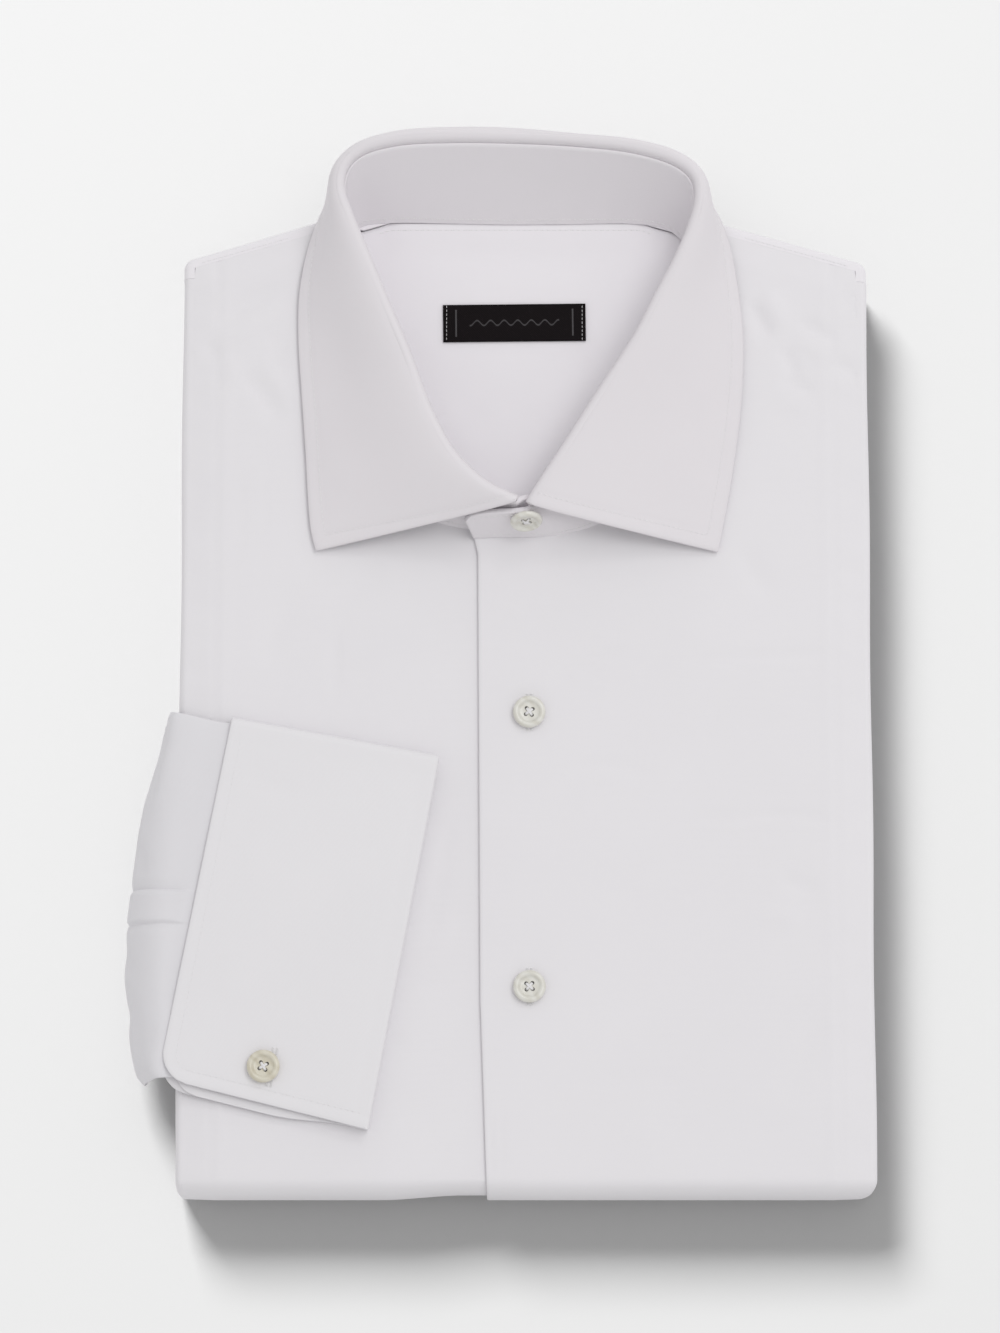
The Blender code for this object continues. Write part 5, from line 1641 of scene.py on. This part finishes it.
# ---- sleeve
@dataclass
class WrappedSleeve:
    """The flattened sleeve as it leaves the fold, wraps the side and enters the cuff."""

    form: FoldedBody
    cuff: DoubleCuff
    cloth: float = 2.4
    outline: Plan = (
        (-149, -124), (-145, -126.3), (-132, -128.9), (-119, -130.7), (-107, -130.9), (-91, -130),
        (-75.6, -128.5), (-58, -126.1), (-50, -124.8), (-33.4, -119.7), (-17, -115.9))
    folds_y: Pair = (-17.6, -148.4)
    mouth_folds_y: Pair = (-22.9, -146.4)
    pleat_y: Pair = (-91.2, -80.6)
    pleat_rise: float = 0.6
    draw_back: float = 9.0
    path_steps: int = 64
    lay_step: float = 1.05

    def mouth_curve(self) -> Array:
        """Draw the sleeve's sewn end in plan, inside the cuff's free edge.

        Returns:
            Its plan points, by rising y.
        """
        cuff = self.cuff
        edge = np.array([cuff.plan(cuff.free_edge(q) + cuff.inset - 2 * GAP, q + cuff.peek_share(q))
                         for q in np.linspace(0.0, 1.0, 41)])
        return edge[np.argsort(edge[:, 1])]

    def path(self, y: float, mouth_x: float) -> list[Triple]:
        """Draw the middle of the sleeve for one line along it, as (x, 0, z).

        Args:
            y: Where the line starts.
            mouth_x: Where it enters the cuff.

        Returns:
            Its corners, from the fold to the cuff.
        """
        form = self.form
        half = self.cloth / 2
        slot_z = (form.lower_end_z + form.upper_end_z) / 2
        outer = float(np.interp(y, *zip(*self.outline))) + half
        side = form.left_x - half - 0.1
        bulge = side - outer
        share = bulge / 16.0
        mouth_z = self.cuff.bottom_z + self.cuff.height / 2
        pinch = float(1.0 - ease(0.0, 14.0, self.folds_y[0] - y))
        entry_x = mouth_x - self.cuff.inset - 1.6
        shoulder_x = min(side + 1.2 - 0.35 * bulge, entry_x)
        raised = 1.0 - float(ease(4.0, 14.0, entry_x - shoulder_x))
        path = [
            (form.left_x + 4.3, slot_z),
            (form.left_x - 0.6 - 0.05 * bulge, slot_z - 0.1 - 0.6 * share),
            (mix(side - 0.45 * bulge, side - 0.1, pinch), mix(slot_z + 1.0 - 7.6 * share, 23.2, pinch)),
            (outer, mix(mix(18.0, 13.0, share), 24.0, pinch)),
            (mix(shoulder_x, outer, 0.62), mix(mix(23.4, 23.0, share), 25.4, pinch)),
            (shoulder_x, mix(27.4, mouth_z - 0.1, raised)),
            *([(entry_x, mouth_z)] if entry_x - shoulder_x > 2.5 else []),
            (mouth_x, mouth_z)]
        return [(x, 0.0, z) for x, z in path]

    def stations(self) -> Array:
        """List where each line along the sleeve starts: close at both folds and at the pleat.

        Returns:
            The y of each, from the upper fold to the lower one.
        """
        top, bottom = self.folds_y
        low, high = self.pleat_y
        ends = (0.0, 0.12, 0.35, 0.7, 1.2, 2.0, 3.2)
        inner = parted((top - 3.2, -52.0, high + 1.4), 2.4)
        pleat = parted((high + 1.4, high - 0.4, low + 0.4, low - 1.6), 0.4)
        rest = parted((low - 1.6, bottom + 3.2), 2.2)
        return np.array([*(top - end for end in ends[:-1]), *inner[:-1], *pleat[:-1], *rest,
                         *(bottom + end for end in ends[-2::-1])])

    def lift(self, y: Array, share: Array, soft_share: Array) -> Array:
        """Return how far the outer side rises: a pressed pleat with two sharp sides, and soft folds.

        Args:
            y: Station of each point.
            share: Its place along the sleeve, from the fold to the cuff.
            soft_share: How free the cloth is, 0 at both folded edges.

        Returns:
            The lift of each point.
        """
        low, high = self.pleat_y
        raised = ease(low - 1.2, low - 0.1, y) * (1.0 - ease(high + 0.1, high + 1.2, y))
        pleat = self.pleat_rise * raised * ease(0.38, 0.6, share) * (1.0 - ease(0.86, 0.94, share))
        soft = SoftWaves(0.34, 26.0, 31).lift(y, share * 70.0) * soft_share + lift_of(SLEEVE_FOLDS, y, share * 70.0)
        return pleat + np.minimum(soft, 0.5) * ease(0.3, 0.45, share) * (1.0 - ease(0.8, 0.9, share))

    def build(self) -> None:
        """Make the sleeve as one closed, flattened tube."""
        top, bottom = self.folds_y
        stations, mouth = self.stations(), self.mouth_curve()
        shares = np.linspace(0.0, 1.0, self.path_steps)
        middle = np.empty((len(stations), self.path_steps, 3))
        for index, y in enumerate(stations):
            mouth_y = mix(*self.mouth_folds_y, (y - top) / (bottom - top))
            line = smooth_curve(self.path(y, float(np.interp(mouth_y, mouth[:, 1], mouth[:, 0]))), self.path_steps)
            drawn = self.draw_back * (1.0 - ease(bottom, bottom + 34.0, y)) * (1.0 - ease(0.22, 0.5, shares))
            line[:, 1] = mix(y, mouth_y, ease(0.3, 1.0, shares)) + drawn
            middle[index] = line
        normal = unit(np.cross(np.gradient(middle, axis=0), np.gradient(middle, axis=1)))
        from_middle = np.abs(np.clip(2.0 * (stations - top) / (bottom - top) - 1.0, -1.0, 1.0))
        half = (self.cloth / 2 * np.sqrt(np.maximum(0.0, 1.0 - from_middle**16)))[:, None]
        along, places = np.meshgrid(shares, stations)
        outer = middle + normal * (half + self.lift(places, along, (1.0 - from_middle**8)[:, None]))[:, :, None]
        under = middle - normal * half[:, :, None]
        rings = np.concatenate([outer, under[-2:0:-1]]).swapaxes(0, 1)
        flat = -np.concatenate([stations, 2 * bottom - stations[-2:0:-1]])
        lay = [np.stack([np.full(len(flat), step * self.lay_step), flat], axis=1) for step in range(self.path_steps)]
        piece = loft_piece("wrapped_sleeve_cloth", rings, SLEEVE_COTTON_PAINTED_SHADE, lay,
                           cap=strip_cap(rings[0], bend=len(stations) - 1))
        finish_piece(piece, "sleeve")


# ---- buttons
@dataclass
class ShirtButton:
    """A four-hole button with a raised rim, sewn on with two crossed strands.

    Seat is the middle of its flat back. The profile runs from the middle of its face round the rim
    to the middle of its back, as radius and height.
    """

    name: str
    seat: Triple
    facing: Triple = (0.0, 0.0, 1.0)
    turn: float = 0.0
    finish: Finish = BUTTON_PEARL
    profile: Plan = (
        (0.0, 1.72), (1.6, 1.70), (2.7, 1.66), (3.3, 1.74), (3.62, 2.05), (3.95, 2.42), (4.35, 2.58),
        (4.8, 2.58), (5.2, 2.4), (5.5, 2.08), (5.66, 1.72), (5.7, 1.4), (5.6, 1.05), (5.3, 0.7), (4.7, 0.4),
        (3.8, 0.15), (3.0, 0.0), (0.0, 0.0))
    hole_radius: float = 0.68
    hole_offset: float = 1.55
    segments: int = 56
    thread: float = 0.2

    def matrix(self) -> Matrix:
        """Work out the placement of the button, in metres.

        Returns:
            Its matrix.
        """
        upward = Vector(self.facing).normalized()
        turned = Matrix.Rotation(radians(self.turn), 4, "Z")
        tilt = upward.to_track_quat("Z", "Y").to_matrix().to_4x4() if upward.z < 0.999 else Matrix.Identity(4)
        return Matrix.Translation(Vector(self.seat) * MM) @ tilt @ turned

    def disc(self) -> Object:
        """Turn the profile, drill the four holes and set the button in its place.

        Returns:
            The button without its thread.
        """
        mesh = bpy.data.meshes.new(self.name)
        points = [(radius * MM, 0.0, height * MM) for radius, height in self.profile]
        mesh.from_pydata(points, [(i, i + 1) for i in range(len(points) - 1)], [])
        piece = placed(f"{self.name}_disc", mesh)
        turned = piece.modifiers.new("turned", "SCREW")
        turned.steps = turned.render_steps = self.segments
        turned.use_merge_vertices, turned.merge_threshold = True, 0.000005
        radius, offset = self.hole_radius * MM, self.hole_offset * MM
        drills = []
        for index in range(4):
            cosine, sine = cos_sin(45.0 + 90.0 * index)
            bpy.ops.mesh.primitive_cone_add(vertices=20, radius1=radius, radius2=radius, depth=8.0 * MM,
                                            location=(offset * cosine, offset * sine, 0.0))
            drills.append(bpy.context.object)
            cut = piece.modifiers.new(f"hole {index}", "BOOLEAN")
            cut.operation, cut.solver, cut.object = "DIFFERENCE", "EXACT", drills[-1]
        soft = piece.modifiers.new("soft edges", "BEVEL")
        soft.width, soft.segments, soft.limit_method = 0.00012, 2, "ANGLE"
        soft.angle_limit = radians(50)
        made = made_plain(piece)
        for old in (piece, *drills):
            bpy.data.objects.remove(old, do_unlink=True)
        made.transform(self.matrix())
        dress_mesh(made, self.finish, 38.0)
        return placed(f"{self.name}_pearl", made)

    def strands(self) -> Object:
        """Make the crossed sewing strands over the holes, three threads to each.

        Returns:
            The thread, in its place.
        """
        points, faces = [], []
        around, steps, up = 8, 12, np.array((0.0, 0.0, 1.0))
        for strand, angle in enumerate((45.0, 135.0)):
            heading = np.array((*cos_sin(angle), 0.0))
            aside = np.array((-heading[1], heading[0], 0.0))
            for offset in (-0.28, 0.0, 0.28):
                first = len(points)
                for t in np.linspace(-1.0, 1.0, steps + 1):
                    height = 1.78 + 0.16 * strand + 0.30 * (1.0 - t * t) - 1.5 * max(0.0, abs(t) - 0.80) / 0.2
                    centre = heading * t * (self.hole_offset + 0.25) + aside * offset * (1.0 - 0.35 * t * t)
                    points += [centre + up * height + self.thread * (aside * cos(a) + up * sin(a))
                               for a in np.linspace(0.0, 2 * pi, around, endpoint=False)]
                rings = [[first + step * around + spoke for spoke in range(around)] for step in range(steps + 1)]
                for ring, after in zip(rings, rings[1:]):
                    faces += [(ring[i - 1], ring[i], after[i], after[i - 1]) for i in range(around)]
                faces += [rings[0][::-1], rings[-1]]
        piece = new_piece(f"{self.name}_thread", np.array(points), faces, THREAD)
        piece.data.transform(self.matrix())
        return piece

    def build(self) -> None:
        """Make the button and its thread."""
        finish_piece(self.disc(), self.name)
        finish_piece(self.strands())


@dataclass(frozen=True)
class Buttonhole:
    """A worked buttonhole: close stitches across both sides of a slit.

    Height gives the surface of the cloth at plan points.
    """

    name: str
    start: Pair
    end: Pair
    height: Callable[[Array, Array], Array]
    half_width: float = 0.75

    def build(self) -> None:
        """Sew round the slit with close stitches laid across the path."""
        start, end = np.array(self.start), np.array(self.end)
        heading = unit(end - start)
        aside = np.array((-heading[1], heading[0])) * self.half_width
        slit = mix(start, end, np.linspace(0.0, 1.0, 12)[:, None])
        paths = [np.column_stack([line, self.height(*line.T) + 0.05]) for line in (slit - aside, slit + aside)]
        StitchLine(self.name, pitch=0.36, length=1.15, width=0.34, lay=StitchLay.ACROSS).sew(paths)


# ---- hidden layers
@dataclass
class TuckedLayers:
    """All that the fold hides, as one rounded solid that is layered at its edges."""

    form: FoldedBody
    bottom_z: float = 3.3
    top_z: float = 22.7
    reach: float = 3.2
    half: float = 10.0
    groove: float = 1.5
    middle: Pair = (9.0, -25.0)

    def levels(self) -> list[Triple]:
        """List the levels from below.

        Returns:
            For each: height, inset of the sides, and inset of the top end or, below nothing, of the tails.
        """
        form = self.form
        in_slot, edge = form.edge_reach + form.turn_in + 0.4, form.edge_reach + 1.6
        lower_top = form.lower_end_z - form.cloth - GAP - 0.1
        upper_bottom = form.upper_end_z + form.cloth + GAP + 0.1
        found = [(self.bottom_z, 3.7, -0.6)]
        found += [(z, 2.15 + 2.4 * float(ease(6.6, 8.8, z)) + deep, -deep - 0.01) for z, deep in self.grooved(
            (3.5, 4.7, 5.9, 7.1, 8.5), (0.0, 0.45, 0.8, 0.96))]
        found += [(lower_top, 4.9, -0.3), (lower_top + 0.1, in_slot, -self.groove),
                  (form.lower_end_z + GAP, in_slot, -self.groove)]
        found += [(z, edge + deep, -deep - 0.01) for z, deep in self.grooved(
            (10.85, 11.85, 12.85, 13.7), (0.0, 0.7, 0.95))]
        return found + [(form.upper_end_z - GAP, in_slot, -0.01), (upper_bottom, in_slot, -0.01),
                        (upper_bottom + 0.1, 4.9, 5.3), (17.2, 2.6, 3.2), (18.3, 2.25, 2.85), (19.4, 2.0, 2.6),
                        (20.4, 2.25, 2.85), (21.4, 2.6, 3.2), (22.2, 4.2, 4.8), (self.top_z, 6.5, 7.0)]

    def grooved(self, bounds: Sequence[float], shares: Sequence[float]) -> list[Pair]:
        """Return heights through round-edged layers, each with the depth of its edge.

        Args:
            bounds: Heights between the layers.
            shares: From 0 in the middle of a layer to 1 at its faces.

        Returns:
            Heights and depths, from below.
        """
        both_ways = sorted({sign * share for share in shares for sign in (-1.0, 1.0)})
        return [(mix(low, high, (u + 1.0) / 2), self.groove * (1.0 - sqrt(1.0 - u * u)))
                for low, high in zip(bounds, bounds[1:]) for u in both_ways]

    def ring(self, z: float, side: float, top: float) -> Array:
        """Return one level's outline.

        Args:
            z: Its height.
            side: Inset from both sides.
            top: Inset from the shoulder line, or below nothing from the ends of the tails.

        Returns:
            Sixteen corners.
        """
        form = self.form
        left, right, corner = form.left_x + side, form.right_x - side, 3.0
        if top < 0.0:
            left_y = right_y = neck_y = form.tail_y - 1.2 + top
            slopes = (0.0, 0.0)
        else:
            slopes = (form.left_slope, form.right_slope)
            left_y, right_y = (height + slope * side - top * hypot(1.0, slope) for height, slope in zip(
                (form.left_shoulder_y, form.right_shoulder_y), slopes))
            neck_y = form.neck_edge_y - top
        reach = self.reach * max(0.0, 1.0 - ((z - form.mid_z) / self.half) ** 2)
        heel, low = form.turn_y + 1.4, form.turn_y - reach
        hollow = heel - 0.2 if 8.5 < z < 16.0 else mix(heel, low, 0.85)
        outline = [
            (left, heel), (left, -40.0), (left, left_y - corner), (left + 0.3 * corner, left_y - 0.3 * corner),
            (left + corner, left_y + slopes[0] * corner), (-40.0, neck_y), (52.0, neck_y),
            (right - corner, right_y + slopes[1] * corner), (right - 0.3 * corner, right_y - 0.3 * corner),
            (right, right_y - corner), (right, -40.0), (right, heel), (form.right_x - 8.4, hollow),
            (form.right_x - 15.0, low), (form.left_x + 10.0, low), (form.left_x + 8.0, hollow)]
        return np.array([(x, y, z) for x, y in outline])

    def build(self) -> None:
        """Make the solid, its edges uneven from layer to layer."""
        rings = []
        for z, side, top in self.levels():
            corners, fine = self.ring(z, side, top), []
            for corner, after in zip(corners, np.roll(corners, -1, axis=0)):
                parts = 26 if np.linalg.norm(after - corner) > 60.0 else 4
                fine += [mix(corner, after, i / parts) for i in range(parts)]
            fine = np.array(fine)
            spaced = arc_lengths(fine)
            wander = 0.5 + 0.25 * np.sin(spaced / 15.0 + z * 0.9) + 0.25 * np.sin(spaced / 6.3 - z * 1.9)
            fine[:, :2] += unit(np.array(self.middle) - fine[:, :2]) * (wander * 0.55)[:, None]
            rings.append(fine)
        piece = loft_piece("tucked_layers", rings, BODY_COTTON, np.array(rings)[:, :, :2], sharp=80.0, flip=True)
        finish_piece(piece, "folded_layers")


# ---- seams and sewing over several pieces
FRONT_BUTTON_X = 10.2
FRONT_BUTTONS_Y = (-18.3, -114.7)


@dataclass
class Sewing:
    """The visible stitching: collar, stand, yoke, shoulder seams, cuff, label and buttonholes."""

    form: FoldedBody
    pressing: Pressing
    yokes: Yokes
    collar: Collar
    cuff: DoubleCuff
    neck_row_inset: float = 3.6
    label_ends_x: Pair = (-18.9, 29.1)
    label_sides_y: Pair = (115.9, 127.5)
    label_top: float = 0.62
    buttonhole_half: float = 6.5
    cuff_slit: Plan = ((-79.6, -150.0), (-77.4, -136.6))

    def neck_row(self) -> Array:
        """Draw the stitch path on the inner yoke, just below the back neck seam.

        Returns:
            Its points.
        """
        x = np.linspace(-42.0, 53.0, 60)
        y = self.form.shoulder_line(x) - self.form.neck_seam_inset - self.neck_row_inset
        return np.stack([x, y, self.yokes.facing_height(x, y) + THREAD_RISE], axis=1)

    def shoulder_rows(self) -> list[Array]:
        """Draw the edge stitching of the outer yoke beside each shoulder seam.

        Returns:
            One path for each shoulder.
        """
        form, rows = self.form, []
        inset = form.seam_inset - GAP - 0.1 - 0.55
        for side, start, end in ((Side.RIGHT_FRONT, -105.0, -60.0), (Side.LEFT_FRONT, 76.0, 122.5)):
            x = np.linspace(start, end, 30)
            y = form.shoulder_line(x) - inset * hypot(1.0, form.shoulder(side)[1])
            rows.append(np.stack([x, y, np.full(len(x), form.top_z - form.strip_drop(inset) + 0.03)], axis=1))
        return rows

    def label_rows(self) -> list[Array]:
        """Return the stitches that hold the label by its short ends."""
        z = self.form.inner_z + GAP + self.label_top
        return [np.array([(x, y, z) for y in np.linspace(*self.label_sides_y, 8)]) for x in self.label_ends_x]

    def build(self, stand_grid: ClothGrid, leaf_grid: ClothGrid) -> None:
        """Sew everything.

        Args:
            stand_grid: Middle surface of the stand.
            leaf_grid: Middle surface of the leaf.
        """
        StitchLine("collar_rim_stitching").sew([self.collar.rim_stitches(leaf_grid)])
        StitchLine("neck_seam_stitching").sew([*self.collar.stand_stitches(stand_grid), self.neck_row()])
        StitchLine("shoulder_seam_stitching", pitch=2.0).sew(self.shoulder_rows())
        StitchLine("cuff_stitching").sew([self.cuff.stitches()])
        StitchLine("label_tacking", pitch=1.3, length=1.0, width=0.2).sew(self.label_rows())
        for index, y in enumerate(FRONT_BUTTONS_Y, 1):
            low, high = ((FRONT_BUTTON_X, y + reach) for reach in (-self.buttonhole_half, self.buttonhole_half))
            Buttonhole(f"front_buttonhole_{index}", low, high, self.pressing.surface).build()
        cuff_top = self.cuff.bottom_z + self.cuff.height
        Buttonhole("cuff_buttonhole", *self.cuff_slit, lambda x, y: cuff_top + self.cuff.lift(x, y)).build()


# ---- studio
@dataclass
class Studio:
    """A plain pale floor, soft light and the camera, in metres."""

    elevation: float = 80.0
    distance: float = 1.9
    aim: Triple = (0.0, -0.002, 0.026)
    lens: float = 146.6
    floor_radius: float = 3.2
    sky_strength: float = 0.685

    def floor(self) -> Object:
        """Lay the floor.

        Returns:
            The floor.
        """
        bpy.ops.mesh.primitive_circle_add(vertices=96, radius=self.floor_radius, fill_type="NGON",
                                          location=(0.0, 0.0, -0.0004))
        floor = bpy.context.object
        floor.name = floor.data.name = "pale_floor"
        floor.data.materials.append(StudioPaper().material())
        return floor

    def light(self, name: str, place: Triple, size: float, power: float,
              lit: Iterable[Object]) -> None:
        """Hang one soft box.

        Args:
            name: Of the light.
            place: In metres.
            size: Of its square side.
            power: In watts.
            lit: The only objects that it lights.
        """
        data = bpy.data.lights.new(name, "AREA")
        data.shape, data.size, data.energy = "SQUARE", size, power
        lamp = placed(name, data)
        lamp.location = place
        lamp.rotation_euler = (-Vector(place)).to_track_quat("-Z", "Y").to_euler()
        lamp.light_linking.receiver_collection = bpy.data.collections.new(f"lit_by_{name}")
        for piece in lit:
            lamp.light_linking.receiver_collection.objects.link(piece)

    def sky(self) -> None:
        """Fill the room with even white light."""
        world = bpy.data.worlds.new("even_room")
        bpy.context.scene.world = world
        world.use_nodes = True
        back = world.node_tree.nodes["Background"]
        back.inputs["Color"].default_value = (1.0, 1.0, 1.0, 1.0)
        back.inputs["Strength"].default_value = self.sky_strength

    def camera(self) -> None:
        """Set the camera above the shirt, a little towards its hem."""
        data = bpy.data.cameras.new("view_camera")
        data.lens, data.sensor_width, data.sensor_fit = self.lens, 36.0, "AUTO"
        camera = placed("view_camera", data)
        level, rise = cos_sin(self.elevation)
        back = Vector((0.0, -level, rise))
        camera.location = Vector(self.aim) + back * self.distance
        camera.rotation_euler = (-back).to_track_quat("-Z", "Y").to_euler()
        bpy.context.scene.camera = camera

    def build(self) -> None:
        """Set the whole studio."""
        shirt = [piece for piece in bpy.context.scene.objects if piece.type == "MESH"]
        floor = self.floor()
        self.sky()
        self.light("soft_box_right", (1.25, 0.6, 3.3), 1.9, 29.0, shirt)
        self.light("soft_box_behind", (0.9, 1.9, 2.4), 0.6, 6.5, shirt)
        self.light("floor_light", (-2.5, 5.4, 4.9), 2.8, 1060.0, [floor])
        self.camera()
        bpy.context.scene.view_settings.view_transform = "Standard"


# ---- listed creases
BODY_CREASES = (
    # the wearer's right shoulder
    Crease(((-103, 118.5), (-90, 127.5), (-75, 136)), -1, 2.9, 0.3),
    Crease(((-99, 112.5), (-86, 121), (-72, 128.5)), 0.7, 3.4),
    Crease(((-104.5, 116.5), (-102.4, 112), (-101.6, 106)), -0.9, 2.4, 0, 0.5),
    Crease(((-98, 110), (-95, 104.5), (-96, 98)), 0.6, 2.6, 0, 0.5),
    Crease(((-93, 106), (-84, 95), (-77, 83)), -1, 4.4, 0.4),
    Crease(((-86, 108), (-78, 98), (-73, 88)), 0.6, 4),
    Crease(((-80.5, 120), (-79.4, 110.2), (-79, 101)), -0.5, 1.3),
    Crease(((-76.5, 119), (-75.4, 109), (-75.8, 100)), -0.45, 1.2),
    Crease(((-83.6, 84), (-82.6, 62), (-82.8, 36)), -0.16, 1),
    Crease(((-92, 74), (-91, 54), (-91.6, 30)), -0.14, 1.2),
    # the wearer's left shoulder
    Crease(((88.5, 131.5), (92.2, 123.5), (96.5, 114)), -1, 2.6, -0.3),
    Crease(((93.5, 134.5), (98, 126), (102, 117)), 0.7, 3),
    Crease(((98.2, 114.5), (102.2, 107.3), (105.2, 99)), -0.8, 2.3),
    Crease(((103, 122.4), (111.8, 118.6), (120, 113)), -0.85, 2.2, 0.3),
    Crease(((103, 116), (110, 112.6), (117, 107.6)), 0.5, 2.6),
    Crease(((97.5, 101.4), (104.6, 99.2), (112.5, 96)), -0.7, 1.8),
    Crease(((95, 94), (104, 92), (113, 88.6)), 0.4, 3),
    Crease(((116.8, 108.5), (123, 104.5), (128.5, 101)), -0.9, 3),
    Crease(((116, 141.6), (122, 137.6), (127.5, 133.5)), -0.45, 1.3),
    Crease(((117, 137.6), (122.4, 133.8), (127.6, 130)), -0.45, 1.3),
    Crease(((118.5, 133), (123.4, 129.4), (127.8, 126)), -0.4, 1.2),
    # the drag line above the first button and the flat folding lines beside it
    Crease(((16, -9), (25, -3.4), (36, 1.6), (47, 3.2)), -0.5, 1.6, 0.4, 0.25),
    Crease(((60, -1.6), (80, 0.4), (104, 1.6), (119, 3)), -0.34, 2, 0.3, 0.2),
    Crease(((18, -40.4), (30, -37.2), (42, -37.6), (56, -41.4)), -0.32, 2.4),
    Crease(((64, -57.6), (84, -55.2), (102, -55.4), (120, -57.4)), -0.36, 1.8, 0.3, 0.2),
    Crease(((96, -76), (104, -79.4), (112, -81)), -0.5, 2.8),
    Crease(((88, -92), (97, -90), (106, -93)), 0.4, 3),
    Crease(((92, -160), (104, -140), (110, -118)), -0.4, 5),
    Crease(((24, -150), (48, -146), (70, -150)), -0.22, 3),
    # soft pulls down from the collar and beside the cuff
    Crease(((84, 44), (90, 30), (98, 20)), -0.55, 4.2),
    Crease(((-57.8, 14), (-57.6, -3), (-58.6, -16)), -0.4, 2.2),
    Crease(((-70, 30), (-78, 12), (-84, -6)), -0.45, 5),
    Crease(((-16, -48), (-20.6, -76), (-27, -108)), -0.35, 3),
    Crease(((-66, 52), (-62, 40), (-48, 30)), 0.35, 5),
    # faint lines beside the front edge near the hem
    Crease(((-3, -156), (-3, -172), (-2.6, -185)), -0.2, 0.9),
    Crease(((0.6, -152), (0.8, -170), (1.2, -185)), -0.18, 0.8),
)
LEAF_FOLDS = (
    Crease(((-60.5, 128), (-57, 106), (-49, 84)), -0.55, 7.5),
    Crease(((-62, 90), (-58, 70), (-52, 54)), 0.4, 7),
    Crease(((62, 92), (70.4, 76), (71.4, 60)), -0.45, 7),
    Crease(((78, 120), (75, 100), (68, 88)), 0.35, 6),
)
INNER_YOKE_FOLDS = (
    Crease(((28, 112), (33, 96), (31, 78), (26, 60)), -0.35, 2.4),
    Crease(((-22, 104), (-10, 88), (4, 74)), -0.35, 6),
    Crease(((12, 102), (16, 84), (12, 68)), 0.3, 5),
)
CUFF_FOLDS = (
    Crease(((-92, -24.6), (-58, -30.9), (-24.6, -37.2)), -0.34, 1.5, 0.3, 0.04),
    Crease(((-24.8, -38), (-36.6, -100), (-48.2, -161)), -0.36, 1.5, -0.3, 0.04),
    Crease(((-90.5, -36.5), (-83, -44.7), (-68, -47)), -0.34, 4.2, 0.3),
    Crease(((-89, -58), (-84, -70), (-86, -84)), 0.22, 5),
    Crease(((-62, -60), (-58, -86), (-66, -116)), -0.18, 9),
    Crease(((-98, -96), (-92, -110), (-95, -124)), 0.2, 6),
)
SLEEVE_FOLDS = (
    Crease(((-91.9, 22), (-92.1, 66)), -0.8, 0.9, 0, 0.1),
    Crease(((-79.9, 22), (-79.7, 66)), -0.8, 0.9, 0, 0.1),
    Crease(((-128, 30), (-122, 36), (-112, 40)), -1.1, 5),
    Crease(((-24, 34), (-40, 38), (-58, 40)), 0.5, 4),
    Crease(((-62, 28), (-68, 36), (-76, 44)), -0.5, 3.6),
    Crease(((-96, 30), (-104, 36), (-110, 44)), -0.6, 4),
)


def build_pressing(cuff: DoubleCuff) -> Pressing:
    """Set the body's creases and the calm places under buttons, collar and cuff.

    Args:
        cuff: The cuff that lies on the cloth.

    Returns:
        The pressing of both fronts.
    """
    calm = [(FRONT_BUTTON_X, y, 8.5, 0.0) for y in FRONT_BUTTONS_Y]
    calm += [(*row[5:7], 6.0, 0.3) for row in (*COLLAR_ROWS[:8], *COLLAR_ROWS[18:])]
    calm += [(x, mix(38.6, 47.0, abs(x - 5.0) / 14.0) - 0.5, 7.0, 0.1) for x in (-9.0, 0.0, 9.0, 19.0)]
    corners = (cuff.upper_left, cuff.upper_right, cuff.lower_right, cuff.lower_left)
    return Pressing(BODY_CREASES, SoftWaves(0.24, 74.0, 3), tuple(calm), corners)


def main() -> None:
    """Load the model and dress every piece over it."""
    logging.basicConfig(level=logging.INFO, format="%(message)s")
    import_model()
    cuff = DoubleCuff(FORM)
    pressing = build_pressing(cuff)
    ShirtFronts(FORM, pressing).build()
    TuckedLayers(FORM).build()
    yokes = Yokes(FORM)
    yokes.build()
    NeckLabel(FORM).build()
    collar = Collar(FORM)
    stand_grid, leaf_grid = collar.build()
    cuff.build()
    WrappedSleeve(FORM, cuff).build()
    for index, y in enumerate(FRONT_BUTTONS_Y):
        ShirtButton(f"front_button_{index + 1}", (FRONT_BUTTON_X, y, FORM.top_z + GAP), turn=12.0 * index - 8).build()
    seat, facing = collar.button_seat(stand_grid)
    ShirtButton("collar_button", tuple(seat), tuple(facing), turn=10.0).build()
    ShirtButton("cuff_button", (*cuff.button, cuff.bottom_z + cuff.height + GAP), turn=-14.0,
                finish=CUFF_PEARL).build()
    Sewing(FORM, pressing, yokes, collar, cuff).build(stand_grid, leaf_grid)
    Studio().build()


if __name__ == "__main__":
    main()
